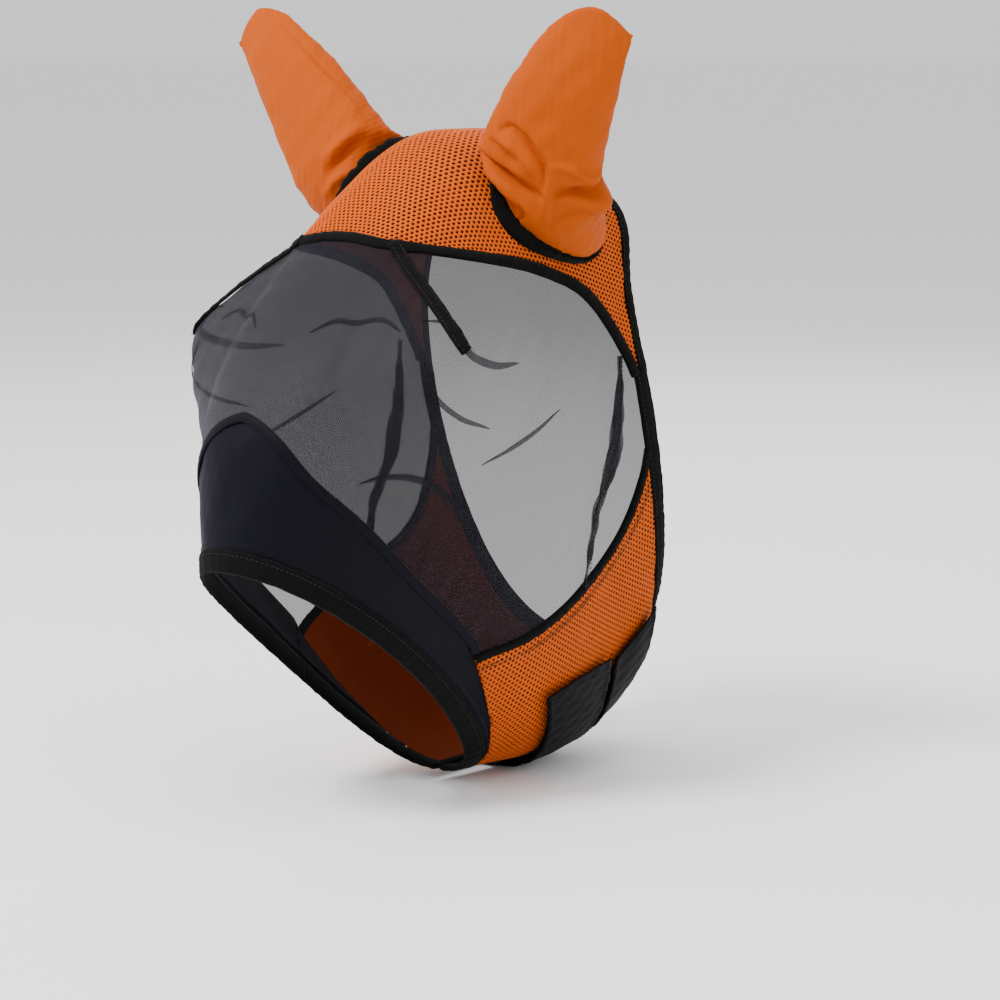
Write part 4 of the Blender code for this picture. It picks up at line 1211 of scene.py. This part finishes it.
def close_tip(cover, points):
    """Join the front and back of an ear cover along its top, and face the cloth outwards."""
    work = bmesh.new()
    work.from_mesh(cover.data)
    work.verts.ensure_lookup_table()
    first, shift = (len(points) - 1) * EAR_ROUND, EAR_ROUND // 4
    ring = [work.verts[first + (k + shift) % EAR_ROUND] for k in range(EAR_ROUND)]
    layer = work.loops.layers.uv["cloth"]
    for k in range(EAR_ROUND // 2 - 1):
        face = work.faces.new((ring[k], ring[k + 1], ring[EAR_ROUND - 2 - k], ring[EAR_ROUND - 1 - k]))
        face.smooth = True
        for loop in face.loops:
            loop[layer].uv = (loop.vert.co.x, loop.vert.co.y)
    bmesh.ops.recalc_face_normals(work, faces=work.faces)
    work.to_mesh(cover.data)
    work.free()
    row = EAR_FOLD_ROWS + 20
    sample = cover.data.polygons[EAR_ROUND * row]
    if np.dot(np.array(sample.normal), np.array(sample.center) - points[row].mean(axis=0)) < 0:
        cover.data.flip_normals()


def build_ear(side):
    turn = np.linspace(0, 2 * np.pi, EAR_ROUND, endpoint=False)
    row = np.concatenate([np.linspace(0, 1, EAR_FOLD_ROWS, endpoint=False),
                          1 + np.linspace(0, 1, EAR_SLEEVE_ROWS)])
    turns, rows = np.meshgrid(turn, row)
    points = ear_surface(side, turns, rows)
    across = np.roll(points, -1, 1) - np.roll(points, 1, 1)
    normal = np.cross(across, np.gradient(points, axis=0))
    normal /= np.maximum(np.linalg.norm(normal, axis=2, keepdims=True), 1e-9)
    if np.sum(normal * (points - points.mean(axis=1, keepdims=True))) < 0:
        normal = -normal
    push = fold_depth(side, points)
    loose = np.clip(rows * 9, 0, 1)
    push += loose * (0.0006 * unevenness(points, 0.045, 73) + 0.00022 * unevenness(points, 0.013, 74))
    push *= np.clip(rows * 14, 0, 1)
    points = points + normal * push[..., None]
    way = 1 if side == "left" else -1
    cover = grid_piece(f"{side}_ear_cover", points[:, ::-way], "ear_knit", closed=True)
    close_tip(cover, points)
    thicken(cover, 0.0007, offset=-1.0)
    band = tape(f"{side}_ear_band", ring_line(side)[:-1], RING_WIDTH, -0.0006, 0.0038, closed=True, seed=71)
    raise_ring(band, side)
    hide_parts(f"{side}_ear_ring")
    thread = stitch_row(f"{side}_ear_stitches", ring_line(side, RING_WIDTH * 0.29), 0.0036, seed=72)
    ride_all("mask", band, thread)
    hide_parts(f"{side}_ear_front", f"{side}_ear_back", f"{side}_ear_gather")
    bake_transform(cover)
    declare(cover)


# ---------------------------------------------------------------- jaw closure
def tab_surface(tab, start, shorter, columns, rows, height, inset=0.0):
    (rear_u, rear_v), (nose_u, nose_v) = TABS[tab]
    u = np.linspace(rear_u + inset, nose_u - inset, columns + 1)[None, :]
    end = np.linspace(rear_v, nose_v, columns + 1)[None, :] + shorter
    share = np.linspace(0, 1, rows + 1)[:, None]
    grid = np.stack([u + 0 * share, start * (1 - share) + end * share], -1)
    return grid, lifted(grid, height)


def build_closure():
    draw = np.random.default_rng(81)
    for tab in TABS:
        body = f"{tab}_tab"
        grid, _ = tab_surface(tab, 2 + BASE_START, 0.0, 30, 110, 0.0)
        rise = np.clip((2 + BASE_START - grid[..., 1]) / 0.085, 0, 1)
        rise = rise * rise * (3 - 2 * rise)
        u_share = np.linspace(-1, 1, 31)[None, :]
        hem = 0.0007 * np.exp(-((np.abs(u_share) - 0.93) / 0.06) ** 2)
        surface = form_point(grid[..., 0], grid[..., 1])
        wave = 0.0006 * unevenness(surface, 0.03, 82 if tab == "front" else 83)
        points = lifted(grid, TAB_LOW + (TAB_HIGH - TAB_LOW) * rise + hem + wave)
        strap = grid_piece(f"{tab}_strap", points, "tab_cloth", thickness=0.0012)
        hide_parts(f"{tab}_tab_base", f"{tab}_tab")
        hinge = np.array([(TABS[tab][0][0] + TABS[tab][1][0]) / 2, TAB_HINGE])
        _, across = form_slopes(hinge[:1], hinge[1:])
        across = across[0] / np.linalg.norm(across[0])
        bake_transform(strap)
        pad = grid_piece(f"{tab}_hooks", tab_surface(tab, 0.90, 0.010, 24, 50, 0.0050, 0.012)[1], "hook_pile",
                         thickness=0.0009)
        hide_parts(f"{tab}_hook_pad")
        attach(pad, body)
        patch = grid_piece(f"{tab}_loops", tab_surface(tab, 0.91, 0.020, 24, 50, 0.0031, 0.012)[1],
                           "hook_pile", thickness=0.0011)
        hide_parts(f"{tab}_loop_patch")
        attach(patch, "mask")
        (rear_u, rear_v), (nose_u, nose_v) = TABS[tab]
        rear_edge = smooth_line([(rear_u + 0.011, 0.985), (rear_u + 0.011, rear_v + 0.01)])
        nose_edge = smooth_line([(nose_u - 0.011, 0.985), (nose_u - 0.011, nose_v + 0.01)])
        end_edge = smooth_line([(rear_u + 0.012, rear_v + 0.012), (nose_u - 0.012, nose_v + 0.012)])
        rows = [stitch_row(f"{tab}_strap_stitches_{n}", line, TAB_HIGH + 0.0018, seed=85 + n)
                for n, line in enumerate((rear_edge, nose_edge, end_edge))]
        corner = smooth_line([(rear_u + 0.004, rear_v + 0.002), (nose_u - 0.004, nose_v + 0.002)])
        frays = frayed_ends(f"{tab}_strap_threads", corner, 0.010, TAB_HIGH + 0.0006, "tab_cloth",
                            int(draw.integers(1000)))
        ride_all(body, *rows, frays)
        declare(strap)
        declare(pad)
        declare(patch)


# ---------------------------------------------------------------- stage
# Name, place and size in metres, power in watts.
LIGHTS = (("key", (-0.5, -2.0, 2.2), 0.9, 120), ("fill", (2.4, 0.2, 0.6), 2.0, 16),
          ("side", (-2.3, -1.2, 0.9), 1.8, 20), ("back", (-0.6, 2.2, 1.4), 1.8, 26),
          ("top", (0.2, -0.2, 2.6), 2.2, 26))
WORLD_STRENGTH = 1.0
CAMERA_TURN, CAMERA_TIP = math.radians(38), math.radians(8)
CAMERA_AWAY = 2.4
CAMERA_AIM = (0.042, -0.2534)     # right and up from the mask's origin, as the camera sees it
SENSOR, VIEW_WIDTH = 36, 0.7      # millimetres; metres across the view at the mask
FLOOR_GAP = 0.0005
FLOOR_RINGS = (0.6, 1.5, 4.0, 12.0, 40.0)
FLOOR_SIDES = 48
LAMP_AIM = Vector((0, 0, -0.2))


def build_stage():
    turn, tip = CAMERA_TURN, CAMERA_TIP
    ahead = Vector((-math.sin(turn) * math.cos(tip), math.cos(turn) * math.cos(tip), -math.sin(tip)))
    right = Vector((math.cos(turn), math.sin(turn), 0))
    above = right.cross(ahead)
    target = right * CAMERA_AIM[0] + above * CAMERA_AIM[1]
    camera = bpy.data.objects.new("camera", bpy.data.cameras.new("camera"))
    camera.location = target - ahead * CAMERA_AWAY
    camera.rotation_euler = ahead.to_track_quat("-Z", "Y").to_euler()
    camera.data.sensor_width = SENSOR
    camera.data.lens = SENSOR * CAMERA_AWAY / VIEW_WIDTH
    bpy.context.scene.collection.objects.link(camera)
    bpy.context.scene.camera = camera

    low = float(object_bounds()[0][2]) - FLOOR_GAP
    points = [(0.0, 0.0, low)]
    faces = []
    for radius in FLOOR_RINGS:
        points += [(radius * math.cos(a), radius * math.sin(a), low)
                   for a in np.linspace(0, 2 * math.pi, FLOOR_SIDES, endpoint=False)]
    for k in range(FLOOR_SIDES):
        after = (k + 1) % FLOOR_SIDES
        faces.append((0, 1 + k, 1 + after))
        for ring in range(len(FLOOR_RINGS) - 1):
            a, b = 1 + ring * FLOOR_SIDES + k, 1 + ring * FLOOR_SIDES + after
            faces.append((a, a + FLOOR_SIDES, b + FLOOR_SIDES, b))
    mesh = bpy.data.meshes.new("floor")
    mesh.from_pydata(points, [], faces)
    floor = bpy.data.objects.new("floor", mesh)
    bpy.context.scene.collection.objects.link(floor)
    paint = bpy.data.materials.new("pale_floor")
    paint.use_nodes = True
    paint.node_tree.nodes["Principled BSDF"].inputs["Base Color"].default_value = (0.94, 0.94, 0.94, 1)
    paint.node_tree.nodes["Principled BSDF"].inputs["Roughness"].default_value = 0.9
    mesh.materials.append(paint)
    floor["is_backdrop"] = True

    for name, place, size, power in LIGHTS:
        lamp = bpy.data.lights.new(name, "AREA")
        lamp.shape = "DISK"
        lamp.size = size
        lamp.energy = power
        held = bpy.data.objects.new(name, lamp)
        held.location = place
        held.rotation_euler = (LAMP_AIM - Vector(place)).to_track_quat("-Z", "Y").to_euler()
        bpy.context.scene.collection.objects.link(held)
    world = bpy.data.worlds.new("studio")
    world.use_nodes = True
    world.node_tree.nodes["Background"].inputs["Color"].default_value = (1, 1, 1, 1)
    world.node_tree.nodes["Background"].inputs["Strength"].default_value = WORLD_STRENGTH
    bpy.context.scene.world = world


# ---------------------------------------------------------------- add-on
def length_setting(label, text, default, **limits):
    return FloatProperty(name=label, description=text, default=default, unit="LENGTH", precision=5, **limits)


def colour_setting(label, text, default):
    return FloatVectorProperty(name=label, description=text, default=default, subtype="COLOR", size=3,
                               min=0.0, max=1.0)


class FlyMaskSizes(bpy.types.PropertyGroup):
    """Sizes of the mask's cloth."""
    hole_pitch: length_setting("Hole Pitch", "Distance between holes of the spacer mesh", 0.0040)
    hole_width: FloatProperty(name="Hole Width", description="Share of a cell that its hole takes up, across",
                              default=0.50, subtype="FACTOR")
    hole_length: FloatProperty(name="Hole Length", default=0.58, subtype="FACTOR",
                               description="Share of a cell that its hole takes up, along")


class FlyMaskColours(bpy.types.PropertyGroup):
    """Colours of the mask's cloth."""
    spacer: colour_setting("Spacer Mesh", "Face of the padded crown and jaw", (0.54, 0.078, 0.0006))
    # The backing colour is darkened as painted shade seen through the holes of the spacer mesh face.
    core: colour_setting("Spacer Backing", "Cloth seen through the holes", (0.17, 0.022, 0.0012))
    ear: colour_setting("Ear Covers", "Stretch knit of the ears", (0.41, 0.062, 0.0004))
    net: colour_setting("Eye Mesh", "Sheer net over the eyes", (0.004, 0.004, 0.0065))
    nose: colour_setting("Nose Panel", "Stretch cloth over the nose", (0.0012, 0.0012, 0.0034))
    binding: colour_setting("Bindings", "Fleece bindings and tapes", (0.0016, 0.0019, 0.0016))
    tab: colour_setting("Tabs", "Closing tabs under the jaw", (0.0008, 0.0008, 0.0020))


class FLYMASK_OT_crown(bpy.types.Operator):
    """Add the padded crown with its brow and rear bindings"""
    bl_idname = "fly_mask.crown"
    bl_label = "Crown"

    def execute(self, context):
        build_crown()
        return {"FINISHED"}


class FLYMASK_OT_rim(bpy.types.Operator):
    """Add the bindings round the throat and the nose"""
    bl_idname = "fly_mask.rim"
    bl_label = "Rim Bindings"

    def execute(self, context):
        build_rim()
        return {"FINISHED"}


class FLYMASK_OT_eye_mesh(bpy.types.Operator):
    """Add the sheer eye mesh with its tucks"""
    bl_idname = "fly_mask.eye_mesh"
    bl_label = "Eye Mesh"

    def execute(self, context):
        build_eye_mesh()
        return {"FINISHED"}


class FLYMASK_OT_nose(bpy.types.Operator):
    """Add the stretch nose panel"""
    bl_idname = "fly_mask.nose"
    bl_label = "Nose Panel"

    def execute(self, context):
        build_nose()
        return {"FINISHED"}


class FLYMASK_OT_jaw(bpy.types.Operator):
    """Add the padded jaw panels and their bindings"""
    bl_idname = "fly_mask.jaw"
    bl_label = "Jaw Panels"

    def execute(self, context):
        build_jaw()
        return {"FINISHED"}


class FLYMASK_OT_darts(bpy.types.Operator):
    """Add the dart tapes and the cheek darts"""
    bl_idname = "fly_mask.darts"
    bl_label = "Darts"

    def execute(self, context):
        build_darts()
        return {"FINISHED"}


class FLYMASK_OT_ears(bpy.types.Operator):
    """Add both ear covers with their rings"""
    bl_idname = "fly_mask.ears"
    bl_label = "Ear Covers"

    def execute(self, context):
        for side in EAR_RINGS:
            build_ear(side)
        return {"FINISHED"}


class FLYMASK_OT_closure(bpy.types.Operator):
    """Add the closing tabs with their hook and loop pads"""
    bl_idname = "fly_mask.closure"
    bl_label = "Jaw Closure"

    def execute(self, context):
        build_closure()
        return {"FINISHED"}


class FLYMASK_OT_stage(bpy.types.Operator):
    """Add the floor, the lights and the camera"""
    bl_idname = "fly_mask.stage"
    bl_label = "Stage"

    def execute(self, context):
        build_stage()
        return {"FINISHED"}


OPERATORS = (FLYMASK_OT_crown, FLYMASK_OT_rim, FLYMASK_OT_eye_mesh, FLYMASK_OT_nose, FLYMASK_OT_jaw,
             FLYMASK_OT_darts, FLYMASK_OT_ears, FLYMASK_OT_closure, FLYMASK_OT_stage)


class FLYMASK_PT_sidebar(bpy.types.Panel):
    """Pieces and settings of the fly mask"""
    bl_idname = "FLYMASK_PT_sidebar"
    bl_label = "Fly Mask"
    bl_space_type = "VIEW_3D"
    bl_region_type = "UI"
    bl_category = "Fly Mask"

    def draw(self, context):
        for settings in (context.scene.fly_mask_sizes, context.scene.fly_mask_colours):
            for name in settings.__annotations__:
                self.layout.prop(settings, name)
        for operator in OPERATORS:
            self.layout.operator(operator.bl_idname)


CLASSES = (FlyMaskSizes, FlyMaskColours, *OPERATORS, FLYMASK_PT_sidebar)


def register():
    for item in CLASSES:
        bpy.utils.register_class(item)
    bpy.types.Scene.fly_mask_sizes = PointerProperty(type=FlyMaskSizes)
    bpy.types.Scene.fly_mask_colours = PointerProperty(type=FlyMaskColours)


def unregister():
    del bpy.types.Scene.fly_mask_colours
    del bpy.types.Scene.fly_mask_sizes
    for item in reversed(CLASSES):
        bpy.utils.unregister_class(item)


def main():
    register()
    bpy.ops.fly_mask.crown()
    bpy.ops.fly_mask.rim()
    bpy.ops.fly_mask.eye_mesh()
    bpy.ops.fly_mask.nose()
    bpy.ops.fly_mask.jaw()
    bpy.ops.fly_mask.darts()
    bpy.ops.fly_mask.ears()
    bpy.ops.fly_mask.closure()
    bpy.ops.fly_mask.stage()


if __name__ == "__main__":
    main()
